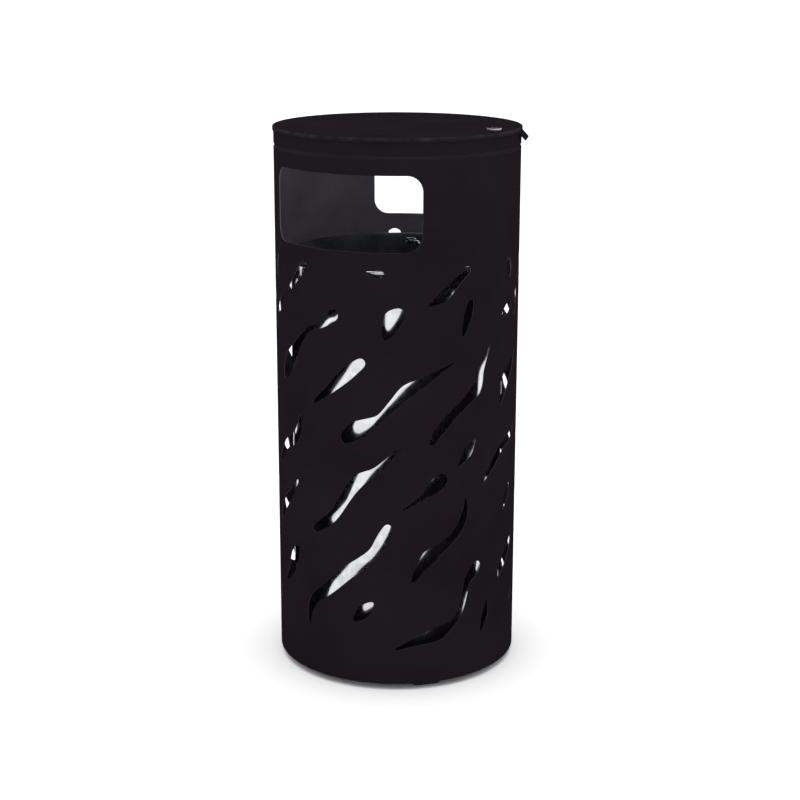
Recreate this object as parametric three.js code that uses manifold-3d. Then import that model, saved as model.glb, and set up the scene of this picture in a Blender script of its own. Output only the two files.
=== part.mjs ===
// Round sheet-steel litter bin: a perforated drum with a deposit window front and back, a hinged lid with a
// turn lock, and a lift-out galvanised liner with two drop handles.
// Millimetres, +Z up. The origin is on the ground, on the drum's axis. The front window faces -Y.
// An angle round the drum starts at the front (-Y) and grows towards +X: the lock is at 90 degrees, the hinge
// at 270. A height named "up" in the cut-out lists is measured from the drum's bottom edge.
import * as THREE from "three";
import { mergeVertices } from "three/addons/utils/BufferGeometryUtils.js";
import Module from "manifold-3d";

// Driving dimensions
const CLEARANCE = 0.3;
const ROUND_STEPS = 40;
const SMALL_STEPS = 8;
const LOCK_STEPS = 12;
// How near the axis the middle of a big round piece's facet comes, as a share of its radius.
const FACET_DIP = Math.cos(Math.PI / ROUND_STEPS);

const DRUM = { radius: 190, wall: 2, bottom: 10, top: 821 };
const WINDOW = { halfArc: 134.6, low: 676, high: 788, corner: 24 };
const COLLAR = { wall: 1.5, bottom: 803, top: 838 };
const PAN = {
  thickness: 3, bottom: 12, flange: 18, wall: 2, anchorHole: 7, drainHole: 9, drainRadius: 90,
  boss: 45, bossTop: 18.5,
};
const FOOT = { size: 42, corner: 4, height: 11.7, radius: 155, pocket: 8.5, pocketDepth: 7.5 };
const BOLT = { shank: 3.9, head: 6.5, headHeight: 4, edge: 2, crown: 3.9, bottom: 1.5 };
const FOOT_NUT = { across: 13, height: 5.5 };

const LID = { radius: 191.5, sheet: 1.2, bottom: 845.5, top: 852, edge: 0.8 };
const SKIRT = { radius: 190, wall: 1.5, bottom: 826 };
const TAB = { angle: 111, width: 52, thickness: 2.5, length: 14.2, droop: 47, start: 845.1 };

const HINGE = {
  x: -192.5, z: 823.5, knuckle: 3.3, bore: 2.1, pin: 1.8, pinHead: 2.5, headLength: 1.5, halfWidth: 30,
  knuckleEnd: 27, split: 10, notch: 4,
};
const LEAF = {
  inner: 190.3, outer: 191.8, bottom: 797, top: 845.2, rivetAngle: 5.4, bodyRivetZ: 808, lidRivetZ: 841.5,
};
const RIVET = { shank: 1.9, head: 2.8, crown: 2, headHeight: 1.3 };

const LOCK = {
  x: 165, bezel: 11, bezelHeight: 2.8, chamfer: 0.8, barrel: 9, core: 6.3, recess: 0.5, socketAcross: 7,
  socketDepth: 8, bottom: 826, nutAcross: 24, nutHeight: 6,
};
const LOCK_TOP = LID.top + CLEARANCE + LOCK.bezelHeight;
const CAM = { reach: 17, width: 12, corner: 3, thickness: 3 };
const CAM_SCREW = { shank: 2.3, length: 10, head: 4.5, edge: 1.5, crown: 3.2, headHeight: 3, tapDepth: 9 };
const STRIKE = { halfWidth: 12, inner: 175.5, outer: 184.9, sheet: 1.8, bottom: 806, top: 825.5 };

const LINER = { radius: 166, wall: 1.2, bottom: 15.3, top: 655, floor: 31, floorSheet: 1.5 };
const BEAD = { radius: 170.8, wire: 4.5, height: 652, sides: 6 };
const EAR = { angle: 21, plateWidth: 18, plateHeight: 9, sheet: 1.7, gap: 0.4, lugReach: 15, lugHeight: 11 };
const HANDLE = {
  axisHeight: 645, axisReach: 146, wire: 2.5, halfWidth: 40, drop: 40, corner: 12, bend: 4, stub: 51.5,
  steps: 26,
};

// Wave-shaped cut-outs. Each is a spine of [arc, up, width]: arc is measured on the drum's outside from the
// middle of the front window, and width is the slot's width across the spine there.
const CUT_OUTS = {
  ribbonA: [[-58, 650, 12], [-68, 638, 14], [-98, 607, 8]],
  dotA: [[54, 646, 8], [64, 645, 15], [73, 645, 10]],
  ribbonB: [[207, 646, 13], [187, 628, 13], [165, 608, 18], [145, 597, 3]],
  leafA: [[214, 595, 12], [208, 572, 15], [201, 550, 7]],
  pebble: [[98, 585, 22], [89, 577, 31], [80, 553, 15]],
  waveA: [[-3, 579, 20], [-17, 566, 11], [-28, 559, 7], [-50, 552, 7], [-66, 537, 11], [-75, 527, 14],
    [-108, 485, 30], [-118, 470, 20]],
  leafB: [[-124, 588, 10], [-138, 575, 18], [-152, 562, 8]],
  leafC: [[-146, 650, 6], [-150, 630, 14], [-152, 610, 6]],
  dotB: [[305, 644, 16], [309, 630, 18]],
  leafD: [[344, 600, 8], [340, 580, 16], [334, 560, 8]],
  leafE: [[314, 580, 12], [302, 573, 18], [288, 567, 8]],
  leafF: [[42, 510, 16], [16, 489, 21], [-10, 465, 14], [-40, 441, 6]],
  waveB: [[185, 507, 3], [157, 494, 9], [129, 478, 17], [112, 469, 21], [91, 448, 15], [69, 426, 11],
    [38, 408, 27], [17, 393, 20]],
  waveC: [[254, 523, 4], [237, 490, 12], [227, 462, 21], [207, 445, 16], [182, 425, 16], [159, 400, 15],
    [152, 388, 12]],
  leafG: [[342, 505, 5], [322, 480, 16], [299, 460, 26], [287, 430, 8]],
  waveD: [[102, 383, 3], [88, 367, 7], [64, 344, 11], [40, 329, 19], [25, 312, 19], [11, 290, 17],
    [-2, 270, 16], [-18, 254, 17], [-40, 239, 13]],
  leafH: [[224, 381, 7], [212, 366, 18], [198, 350, 8]],
  waveE: [[342, 385, 5], [322, 368, 14], [292, 357, 14], [272, 340, 14], [247, 315, 6]],
  comma: [[167, 327, 22], [157, 319, 25], [142, 306, 11], [106, 283, 3]],
  waveF: [[209, 295, 3], [209, 275, 10], [200, 250, 14], [182, 230, 14], [160, 215, 20], [148, 206, 26],
    [133, 188, 16], [123, 170, 8]],
  waveG: [[83, 255, 13], [75, 238, 18], [62, 215, 16], [42, 195, 20], [18, 177, 21], [-2, 158, 20],
    [-20, 142, 19], [-39, 127, 16], [-53, 105, 13], [-56, 78, 4]],
  leafI: [[57, 130, 10], [45, 117, 22], [32, 103, 10]],
  waveH: [[232, 178, 18], [226, 170, 20], [215, 160, 13], [210, 140, 11], [201, 110, 10], [187, 92, 11],
    [162, 79, 23], [132, 71, 16], [95, 57, 3]],
  leafJ: [[257, 112, 6], [252, 90, 15], [244, 67, 5]],
  leafK: [[322, 288, 8], [312, 272, 19], [300, 256, 8]],
  ribbonC: [[339, 205, 8], [322, 180, 17], [297, 160, 18], [287, 145, 6]],
  dotC: [[342, 106, 8], [336, 92, 10]],
  leafL: [[-83, 200, 8], [-93, 180, 24], [-108, 150, 18], [-128, 130, 6]],
  ribbonD: [[-83, 305, 6], [-103, 280, 14], [-125, 258, 16], [-148, 230, 10]],
  waveI: [[-73, 412, 6], [-78, 390, 14], [-93, 370, 17], [-113, 360, 16], [-133, 340, 14], [-153, 320, 6]],
  dotD: [[-152, 110, 10], [-166, 92, 16]],
  dotE: [[692, 644, 9], [698, 645, 14], [704, 644, 9]],
};
// The rest of the drum repeats those shapes, most of them half a turn on: [shape, arc shift, up shift].
const HALF_TURN = 597;
const REPEATED_AT_BACK = [
  "ribbonA", "leafA", "pebble", "waveA", "leafC", "leafD", "leafE", "leafF", "waveB", "waveC", "leafG",
  "waveD", "leafH", "waveE", "comma", "waveF", "waveG", "leafI", "waveH", "leafJ", "leafK",
];
const MOVED_COPIES = [
  ["ribbonB", 597, -9], ["dotB", 597, -9], ["leafB", 597, 2], ["ribbonC", 607, 20],
  ["leafL", 543, 7], ["ribbonD", 567, 0], ["waveI", 580, 0], ["dotD", 616, -1], ["dotC", 71, -23],
  ["leafD", 80, -4], ["leafE", 163, -32], ["leafH", 252, 52], ["leafK", 625, 49], ["leafA", 754, -20],
  ["leafI", 878, 6], ["pebble", 285, 55], ["leafA", 177, -100], ["leafH", 175, -5], ["leafK", 70, -20],
  ["leafH", 165, -190], ["dotB", 680, 0], ["leafK", 695, 310], ["leafH", 785, 90], ["leafH", 780, -5],
  ["leafK", 690, 0], ["leafA", 790, -385], ["leafJ", 728, 8],
];

// Finishes
const POWDER_COAT = new THREE.MeshStandardMaterial({ color: 0x1d191c, roughness: 0.6, metalness: 0.1 });
const GALVANISED = new THREE.MeshStandardMaterial({ color: 0xb4b6b8, roughness: 0.4, metalness: 0.8 });
const STAINLESS = new THREE.MeshStandardMaterial({ color: 0xc8c8c6, roughness: 0.25, metalness: 1 });
const RUBBER = new THREE.MeshStandardMaterial({ color: 0x151515, roughness: 0.9, metalness: 0 });

const wasm = await Module();
wasm.setup();

// A closed geometry as a solid, with its shared vertices merged and its faces pointing out.
function toSolid(geometry) {
  const bare = new THREE.BufferGeometry();
  bare.setAttribute("position", geometry.getAttribute("position"));
  if (geometry.index) {
    bare.setIndex(geometry.index);
  }
  const merged = mergeVertices(bare, 1e-4);
  const points = merged.getAttribute("position");
  const corners = merged.index.array;
  const triangles = [];
  const a = new THREE.Vector3();
  const b = new THREE.Vector3();
  const c = new THREE.Vector3();
  let volume = 0;
  for (let i = 0; i < corners.length; i += 3) {
    const [p, q, r] = [corners[i], corners[i + 1], corners[i + 2]];
    if (p !== q && q !== r && r !== p) {
      triangles.push([p, q, r]);
      a.fromBufferAttribute(points, p);
      b.fromBufferAttribute(points, q);
      c.fromBufferAttribute(points, r);
      volume += a.dot(b.cross(c));
    }
  }
  const outward = volume > 0 ? triangles : triangles.map(([p, q, r]) => [p, r, q]);
  return new wasm.Manifold(new wasm.Mesh({
    numProp: 3,
    vertProperties: new Float32Array(points.array),
    triVerts: new Uint32Array(outward.flat()),
  }));
}

function toGeometry(solid) {
  const mesh = solid.getMesh();
  const geometry = new THREE.BufferGeometry();
  geometry.setAttribute("position", new THREE.BufferAttribute(mesh.vertProperties, 3));
  geometry.setIndex(new THREE.BufferAttribute(mesh.triVerts, 1));
  return geometry;
}

// A solid of revolution about +Z from a closed list of [radius, height].
function turned(profile, steps = ROUND_STEPS) {
  const points = profile.map(([radius, height]) => new THREE.Vector2(radius, height));
  if (profile.every(([radius]) => radius > 0)) {
    points.push(points[0].clone());
  }
  const geometry = new THREE.LatheGeometry(points, steps);
  geometry.rotateX(Math.PI / 2);
  return toSolid(geometry);
}

function ring(inner, outer, bottom, top, steps = ROUND_STEPS) {
  return turned([[inner, bottom], [outer, bottom], [outer, top], [inner, top]], steps);
}

function rod(radius, bottom, top, steps = SMALL_STEPS) {
  return turned([[0, bottom], [radius, bottom], [radius, top], [0, top]], steps);
}

// A cutter up the Z axis that is longer than the bin is tall.
function bore(radius, steps = SMALL_STEPS) {
  const REACH = 1000;
  return rod(radius, -REACH, REACH, steps);
}

function box(low, high) {
  const size = high.map((value, i) => value - low[i]);
  const geometry = new THREE.BoxGeometry(...size);
  geometry.translate(...low.map((value, i) => value + size[i] / 2));
  return toSolid(geometry);
}

function plate(shape, bottom, top, curveSegments = 3) {
  const options = { depth: top - bottom, bevelEnabled: false, curveSegments };
  const geometry = new THREE.ExtrudeGeometry(shape, options);
  geometry.translate(0, 0, bottom);
  return toSolid(geometry);
}

function roundedRectangle(halfWidth, halfHeight, corner) {
  const x = halfWidth - corner;
  const y = halfHeight - corner;
  const shape = new THREE.Shape();
  shape.absarc(x, -y, corner, -Math.PI / 2, 0);
  shape.absarc(x, y, corner, 0, Math.PI / 2);
  shape.absarc(-x, y, corner, Math.PI / 2, Math.PI);
  shape.absarc(-x, -y, corner, Math.PI, 1.5 * Math.PI);
  shape.closePath();
  return shape;
}

// Turns a solid made along the front (-Y) direction to an angle round the drum.
function atAngle(solid, degrees) {
  return solid.rotate([0, 0, degrees]);
}

// A cutter for a rivet hole at the front (-Y), between two distances from the axis.
function rivetHole(inner, outer, z) {
  return rod(RIVET.shank + CLEARANCE, inner, outer).rotate([90, 0, 0]).translate([0, 0, z]);
}

function hexagon(acrossFlats) {
  const shape = new THREE.Shape();
  for (let i = 0; i < 6; i += 1) {
    const angle = (i * Math.PI) / 3;
    const corner = acrossFlats / 2 / Math.cos(Math.PI / 6);
    const point = [corner * Math.cos(angle), corner * Math.sin(angle)];
    if (i === 0) {
      shape.moveTo(...point);
    } else {
      shape.lineTo(...point);
    }
  }
  shape.closePath();
  return shape;
}

// Outline of a cut-out: both sides of its smoothed spine, with a point in the middle of each end.
function cutOutOutline(spine) {
  const STEP = 18;
  const middles = spine.map((point) => new THREE.Vector3(...point));
  const curve = new THREE.CatmullRomCurve3(middles, false, "centripetal");
  const steps = Math.max(2, Math.round(curve.getLength() / STEP));
  const right = [];
  const left = [];
  for (let i = 0; i <= steps; i += 1) {
    const point = curve.getPoint(i / steps);
    const along = curve.getTangent(i / steps).setZ(0).normalize();
    const half = point.z / 2;
    right.push(new THREE.Vector2(point.x + along.y * half, point.y - along.x * half));
    left.push(new THREE.Vector2(point.x - along.y * half, point.y + along.x * half));
    if (i === 0) {
      right.unshift(new THREE.Vector2(point.x - along.x * half, point.y - along.y * half));
    }
    if (i === steps) {
      right.push(new THREE.Vector2(point.x + along.x * half, point.y + along.y * half));
    }
  }
  return [...right, ...left.reverse()];
}

// Distances from the axis that cutters for the drum, collar and lid run between.
const CUT_FROM = 150;
const CUT_TO = 210;

// A straight cutter for the drum: an outline drawn on the flat sheet, seen square on from the middle of its
// arc and pushed through from one distance in front of the axis to another.
function drumTool(outline, middleArc, from, to) {
  const { radius } = DRUM;
  const seen = outline.map((p) => new THREE.Vector2(radius * Math.sin((p.x - middleArc) / radius), p.y));
  return plate(new THREE.Shape(seen), from, to)
    .rotate([90, 0, THREE.MathUtils.radToDeg(middleArc / radius)])
    .translate([0, 0, DRUM.bottom]);
}

function cutOutTool(spine, arcShift, upShift) {
  const outline = cutOutOutline(spine).map((p) => new THREE.Vector2(p.x + arcShift, p.y + upShift));
  const arcs = outline.map((p) => p.x);
  return drumTool(outline, (Math.min(...arcs) + Math.max(...arcs)) / 2, CUT_FROM, CUT_TO);
}

// Both deposit windows at once.
function windowTool() {
  const middle = (WINDOW.low + WINDOW.high) / 2;
  const shape = roundedRectangle(WINDOW.halfArc, (WINDOW.high - WINDOW.low) / 2, WINDOW.corner);
  const CORNER_STEPS = 4;
  const outline = shape.getPoints(CORNER_STEPS).map((p) => new THREE.Vector2(p.x, p.y + middle));
  return drumTool(outline, 0, -CUT_TO, CUT_TO);
}

// Rivet holes through everything at the hinge.
function hingeRivetHoles(z) {
  const hole = rivetHole(CUT_FROM, CUT_TO, z);
  return atAngle(hole, 270 - LEAF.rivetAngle).add(atAngle(hole, 270 + LEAF.rivetAngle));
}

function bodyDrum() {
  let solid = ring(DRUM.radius - DRUM.wall, DRUM.radius, DRUM.bottom, DRUM.top).subtract(windowTool());
  for (const spine of Object.values(CUT_OUTS)) {
    solid = solid.subtract(cutOutTool(spine, 0, 0));
  }
  for (const name of REPEATED_AT_BACK) {
    solid = solid.subtract(cutOutTool(CUT_OUTS[name], HALF_TURN, 0));
  }
  for (const [name, arcShift, upShift] of MOVED_COPIES) {
    solid = solid.subtract(cutOutTool(CUT_OUTS[name], arcShift, upShift));
  }
  return solid.subtract(hingeRivetHoles(LEAF.bodyRivetZ));
}

// A ring inside the top of the drum that the lid's skirt drops over. It shows in the groove between them.
function topCollar() {
  const outer = DRUM.radius - DRUM.wall - CLEARANCE;
  return ring(outer - COLLAR.wall, outer, COLLAR.bottom, COLLAR.top)
    .subtract(hingeRivetHoles(LEAF.bodyRivetZ));
}

const FOOT_ANGLES = [45, 135, 225, 315];

// A dished plate that closes the drum's bottom, with foot holes, drain holes and one ground anchor hole.
function basePan() {
  const outer = DRUM.radius - DRUM.wall - CLEARANCE;
  const { bottom, thickness, flange, wall, boss, bossTop } = PAN;
  let solid = turned([
    [0, bottom], [outer, bottom], [outer, bottom + flange], [outer - wall, bottom + flange],
    [outer - wall, bottom + thickness], [boss, bottom + thickness], [boss, bossTop], [0, bossTop],
  ]);
  solid = solid.subtract(bore(PAN.anchorHole));
  for (const angle of FOOT_ANGLES) {
    const footHole = bore(BOLT.shank + CLEARANCE).translate([0, -FOOT.radius, 0]);
    const drain = bore(PAN.drainHole).translate([0, -PAN.drainRadius, 0]);
    solid = solid.subtract(atAngle(footHole, angle)).subtract(atAngle(drain, angle));
  }
  return solid;
}

// A square rubber pad, bored for its bolt and pocketed below for the nut.
function footPad(angle) {
  const pad = plate(roundedRectangle(FOOT.size / 2, FOOT.size / 2, FOOT.corner), 0, FOOT.height, 1);
  const pocket = rod(FOOT.pocket, -FOOT.height, FOOT.pocketDepth);
  const solid = pad.subtract(bore(BOLT.shank + CLEARANCE)).subtract(pocket);
  return atAngle(solid.translate([0, -FOOT.radius, 0]), angle);
}

function footBolt(angle) {
  const seat = PAN.bottom + PAN.thickness + CLEARANCE;
  const { shank, head, headHeight, edge, crown, bottom } = BOLT;
  const solid = turned([
    [0, bottom], [shank, bottom], [shank, seat], [head, seat], [head, seat + edge], [crown, seat + headHeight],
    [0, seat + headHeight],
  ], SMALL_STEPS);
  return atAngle(solid.translate([0, -FOOT.radius, 0]), angle);
}

function footNut(angle) {
  const low = FOOT.pocketDepth - CLEARANCE - FOOT_NUT.height;
  const nut = plate(hexagon(FOOT_NUT.across), low, low + FOOT_NUT.height)
    .subtract(bore(BOLT.shank + CLEARANCE));
  return atAngle(nut.translate([0, -FOOT.radius, 0]), angle);
}

// A pressed flat cap whose short rim folds down outside the skirt.
function lidCap() {
  const { radius, sheet, bottom, top, edge } = LID;
  const cap = turned([
    [0, top - sheet - CLEARANCE], [radius - sheet, top - sheet - CLEARANCE], [radius - sheet, bottom],
    [radius, bottom], [radius, top - edge], [radius - edge, top], [0, top],
  ]);
  return cap.subtract(bore(LOCK.barrel + CLEARANCE, LOCK_STEPS).translate([LOCK.x, 0, 0]));
}

function lidSkirt() {
  const top = LID.top - LID.sheet - 2 * CLEARANCE;
  return ring(SKIRT.radius - SKIRT.wall, SKIRT.radius, SKIRT.bottom, top)
    .subtract(hingeRivetHoles(LEAF.lidRivetZ));
}

// The bent lifting tab welded to the skirt just under the cap's rim.
function lidTab() {
  const droop = THREE.MathUtils.degToRad(TAB.droop);
  const out = [Math.cos(droop), -Math.sin(droop)];
  const across = [-Math.sin(droop), -Math.cos(droop)];
  const root = [SKIRT.radius + CLEARANCE, TAB.start];
  const tip = [root[0] + out[0] * TAB.length, root[1] + out[1] * TAB.length];
  const under = [tip[0] + across[0] * TAB.thickness, tip[1] + across[1] * TAB.thickness];
  const back = [root[0], root[1] - TAB.thickness / Math.cos(droop)];
  const shape = new THREE.Shape([root, tip, under, back].map((point) => new THREE.Vector2(...point)));
  const solid = plate(shape, -TAB.width / 2, TAB.width / 2).rotate([90, 0, 0]).rotate([0, 0, -90]);
  return atAngle(solid, TAB.angle);
}

// A cylinder along Y at the hinge line.
function hingeRod(radius, from, to) {
  const STEPS = 12;
  return rod(radius, from, to, STEPS).rotate([-90, 0, 0]).translate([HINGE.x, 0, HINGE.z]);
}

// A block behind the drum that takes in all of a leaf between two places along the hinge and two heights.
function hingeBlock(from, to, low, high) {
  return box([-CUT_TO, from, low], [-CUT_FROM, to, high]);
}

// Room in one leaf for the other leaf's knuckle.
function hingeNotch(from, to) {
  return hingeBlock(from, to, HINGE.z - HINGE.notch, HINGE.z + HINGE.notch);
}

function hingeLeafBlank(low, high) {
  return ring(LEAF.inner, LEAF.outer, low, high)
    .intersect(hingeBlock(-HINGE.halfWidth, HINGE.halfWidth, low, high));
}

function hingeBodyLeaf() {
  const { split, halfWidth, knuckle, knuckleEnd } = HINGE;
  return hingeLeafBlank(LEAF.bottom, HINGE.z)
    .subtract(hingeNotch(-split, split))
    .add(hingeRod(knuckle, -knuckleEnd, -split))
    .add(hingeRod(knuckle, split, knuckleEnd))
    .subtract(hingeRod(HINGE.bore, -halfWidth, halfWidth))
    .subtract(hingeRivetHoles(LEAF.bodyRivetZ));
}

function hingeLidLeaf() {
  const { halfWidth, knuckle } = HINGE;
  const split = HINGE.split - CLEARANCE;
  return hingeLeafBlank(HINGE.z, LEAF.top)
    .subtract(hingeNotch(-halfWidth, -split))
    .subtract(hingeNotch(split, halfWidth))
    .add(hingeRod(knuckle, -split, split))
    .subtract(hingeRod(HINGE.bore, -halfWidth, halfWidth))
    .subtract(hingeRivetHoles(LEAF.lidRivetZ));
}

function hingePin() {
  const end = HINGE.knuckleEnd + CLEARANCE;
  const tip = end + HINGE.headLength;
  return hingeRod(HINGE.pin, -tip, tip)
    .add(hingeRod(HINGE.pinHead, -tip, -end))
    .add(hingeRod(HINGE.pinHead, end, tip));
}

// A rivet along the radial direction, headed at both ends, holding from one radius to the other.
function rivet(from, to) {
  const { shank, head, crown, headHeight } = RIVET;
  const inside = from - CLEARANCE;
  const outside = to + CLEARANCE;
  return turned([
    [0, inside - headHeight], [crown, inside - headHeight], [head, inside], [shank, inside],
    [shank, outside], [head, outside], [crown, outside + headHeight], [0, outside + headHeight],
  ], SMALL_STEPS).rotate([90, 0, 0]);
}

function hingeRivet(side, innerRadius, z) {
  const body = rivet(innerRadius * FACET_DIP, LEAF.outer).translate([0, 0, z]);
  return atAngle(body, 270 + side * LEAF.rivetAngle);
}

// Housing of the lock: a round bezel on the cap with a barrel down through it.
function lockHousing() {
  const { bezel, chamfer, barrel, core, bottom } = LOCK;
  const seat = LID.top + CLEARANCE;
  return turned([
    [core + CLEARANCE, bottom], [barrel, bottom], [barrel, seat], [bezel, seat], [bezel, LOCK_TOP - chamfer],
    [bezel - chamfer, LOCK_TOP], [core + CLEARANCE, LOCK_TOP],
  ], LOCK_STEPS).translate([LOCK.x, 0, 0]);
}

function lockNut() {
  const top = LID.top - LID.sheet - 2 * CLEARANCE;
  const nut = plate(hexagon(LOCK.nutAcross), top - LOCK.nutHeight, top);
  return nut.subtract(bore(LOCK.barrel + CLEARANCE, LOCK_STEPS)).translate([LOCK.x, 0, 0]);
}

// The turning core, with a square key socket on top and a tapped hole for the cam's screw below.
function lockCore() {
  const top = LOCK_TOP - LOCK.recess;
  const low = LOCK.bottom - CAM.thickness;
  const half = LOCK.socketAcross / 2;
  const socket = box([-half, -half, top - LOCK.socketDepth], [half, half, top + LOCK.socketDepth]);
  const tapped = rod(CAM_SCREW.shank + CLEARANCE, low - CAM_SCREW.tapDepth, low + CAM_SCREW.tapDepth);
  return rod(LOCK.core, low, top, LOCK_STEPS).subtract(socket).subtract(tapped).translate([LOCK.x, 0, 0]);
}

// The cam points along -Y when the lock is open and along +X when it is locked.
function lockCam() {
  const top = LOCK.bottom - CAM.thickness - CLEARANCE;
  const half = CAM.width / 2;
  const shape = new THREE.Shape();
  shape.absarc(0, 0, half, 0, Math.PI);
  shape.lineTo(-half, -CAM.reach + CAM.corner);
  shape.lineTo(-half + CAM.corner, -CAM.reach);
  shape.lineTo(half - CAM.corner, -CAM.reach);
  shape.lineTo(half, -CAM.reach + CAM.corner);
  shape.closePath();
  const arm = plate(shape, top - CAM.thickness, top, SMALL_STEPS);
  return arm.subtract(bore(CAM_SCREW.shank + CLEARANCE)).translate([LOCK.x, 0, 0]);
}

function lockCamScrew() {
  const seat = LOCK.bottom - 2 * CAM.thickness - 2 * CLEARANCE;
  const { shank, length, head, edge, crown, headHeight } = CAM_SCREW;
  return turned([
    [0, seat - headHeight], [crown, seat - headHeight], [head, seat - edge], [head, seat], [shank, seat],
    [shank, seat + length], [0, seat + length],
  ], SMALL_STEPS).translate([LOCK.x, 0, 0]);
}

// An angle welded inside the collar. The cam turns in under its flange.
function lockStrike() {
  const { halfWidth, inner, outer, sheet, bottom, top } = STRIKE;
  const flange = box([inner, -halfWidth, top - sheet], [outer, halfWidth, top]);
  return flange.add(box([outer - sheet, -halfWidth, bottom], [outer, halfWidth, top]));
}

// The ears stand either side of the middle of each handle. Left and right are as seen from the front.
const EARS = [
  { place: "front_left", middle: 0, side: -1 },
  { place: "front_right", middle: 0, side: 1 },
  { place: "rear_right", middle: 180, side: -1 },
  { place: "rear_left", middle: 180, side: 1 },
];

function earAngle({ middle, side }) {
  return middle + side * EAR.angle;
}

function earRivetHole(ear) {
  return atAngle(rivetHole(HANDLE.axisReach, CUT_TO, HANDLE.axisHeight), earAngle(ear));
}

function linerWall() {
  const { radius, wall, bottom, top } = LINER;
  let solid = ring(radius - wall, radius, bottom, top);
  for (const ear of EARS) {
    solid = solid.subtract(earRivetHole(ear));
  }
  return solid;
}

// The rolled wire edge round the liner's mouth.
function linerRimBead() {
  const profile = [];
  for (let i = 0; i < BEAD.sides; i += 1) {
    const angle = (i * 2 * Math.PI) / BEAD.sides;
    profile.push([BEAD.radius + BEAD.wire * Math.cos(angle), BEAD.height + BEAD.wire * Math.sin(angle)]);
  }
  return turned(profile);
}

// A floor set up inside the wall, with its edge turned down to stand beside it.
function linerBottom() {
  const outer = LINER.radius - LINER.wall - CLEARANCE;
  const { floor, floorSheet, bottom } = LINER;
  return turned([
    [0, floor - floorSheet], [outer - floorSheet, floor - floorSheet], [outer - floorSheet, bottom],
    [outer, bottom], [outer, floor], [0, floor],
  ]);
}

// How far from the axis the outer face of an ear's plate is.
const EAR_SEAT = (LINER.radius - LINER.wall) * FACET_DIP - EAR.gap;

// An ear that carries one end of a handle: a plate on the wall, and a lug that stands in from the plate's edge
// nearer the handle's middle.
function linerEar(ear) {
  const { plateWidth, plateHeight, sheet, lugReach, lugHeight } = EAR;
  const z = HANDLE.axisHeight;
  const plateEdge = -ear.side * plateWidth / 2;
  const lugEdge = plateEdge + ear.side * sheet;
  const flat = box(
    [-plateWidth / 2, -EAR_SEAT, z - plateHeight / 2],
    [plateWidth / 2, -EAR_SEAT + sheet, z + plateHeight / 2],
  );
  const lug = box(
    [Math.min(plateEdge, lugEdge), -EAR_SEAT, z - lugHeight / 2],
    [Math.max(plateEdge, lugEdge), -EAR_SEAT + lugReach, z + lugHeight / 2],
  );
  const pivot = bore(HANDLE.wire + CLEARANCE).rotate([0, 90, 0]).translate([0, -HANDLE.axisReach, z]);
  return atAngle(flat.add(lug), earAngle(ear))
    .subtract(atAngle(pivot, ear.middle))
    .subtract(earRivetHole(ear));
}

function linerEarRivet(ear) {
  const body = rivet(EAR_SEAT - EAR.sheet, LINER.radius).translate([0, 0, HANDLE.axisHeight]);
  return atAngle(body, earAngle(ear));
}

// A wire handle hanging from its two ears: a wide U whose ends turn out through the lugs.
function linerHandle(middle) {
  const { axisReach, axisHeight, wire, halfWidth, drop, corner, bend, stub, steps } = HANDLE;
  const cut = corner * (1 - Math.SQRT1_2);
  const side = (sign) => [
    [sign * stub, 0], [sign * (halfWidth + bend), 0], [sign * halfWidth, -bend],
    [sign * halfWidth, -drop + corner], [sign * (halfWidth - cut), -drop + cut],
    [sign * (halfWidth - corner), -drop],
  ];
  const outline = [...side(-1), ...side(1).reverse()];
  const points = outline.map(([x, z]) => new THREE.Vector3(x, -axisReach, axisHeight + z));
  const TENSION = 0.1;
  const section = new THREE.Shape();
  section.absarc(0, 0, wire, 0, 2 * Math.PI);
  const geometry = new THREE.ExtrudeGeometry(section, {
    steps,
    curveSegments: 3,
    extrudePath: new THREE.CatmullRomCurve3(points, false, "catmullrom", TENSION),
  });
  return atAngle(toSolid(geometry), middle);
}

const litterBin = new THREE.Group();
litterBin.name = "litter_bin";

function add(name, solid, material) {
  const mesh = new THREE.Mesh(toGeometry(solid), material);
  mesh.name = name;
  litterBin.add(mesh);
}

add("body_drum", bodyDrum(), POWDER_COAT);
add("top_collar", topCollar(), POWDER_COAT);
add("base_pan", basePan(), POWDER_COAT);
FOOT_ANGLES.forEach((angle, i) => {
  add(`foot_pad_${i + 1}`, footPad(angle), RUBBER);
  add(`foot_bolt_${i + 1}`, footBolt(angle), STAINLESS);
  add(`foot_nut_${i + 1}`, footNut(angle), STAINLESS);
});

add("hinge_body_leaf", hingeBodyLeaf(), POWDER_COAT);
add("hinge_pin", hingePin(), STAINLESS);
add("lock_strike", lockStrike(), POWDER_COAT);
const collarInside = DRUM.radius - DRUM.wall - CLEARANCE - COLLAR.wall;
const skirtInside = SKIRT.radius - SKIRT.wall;
[-1, 1].forEach((side, i) => {
  add(`hinge_body_rivet_${i + 1}`, hingeRivet(side, collarInside, LEAF.bodyRivetZ), STAINLESS);
  add(`hinge_lid_rivet_${i + 1}`, hingeRivet(side, skirtInside, LEAF.lidRivetZ), STAINLESS);
});

add("lid_cap", lidCap(), POWDER_COAT);
add("lid_skirt", lidSkirt(), POWDER_COAT);
add("lid_tab", lidTab(), POWDER_COAT);
add("hinge_lid_leaf", hingeLidLeaf(), POWDER_COAT);
add("lock_housing", lockHousing(), STAINLESS);
add("lock_nut", lockNut(), STAINLESS);
add("lock_core", lockCore(), STAINLESS);
add("lock_cam", lockCam(), STAINLESS);
add("lock_cam_screw", lockCamScrew(), STAINLESS);

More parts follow.
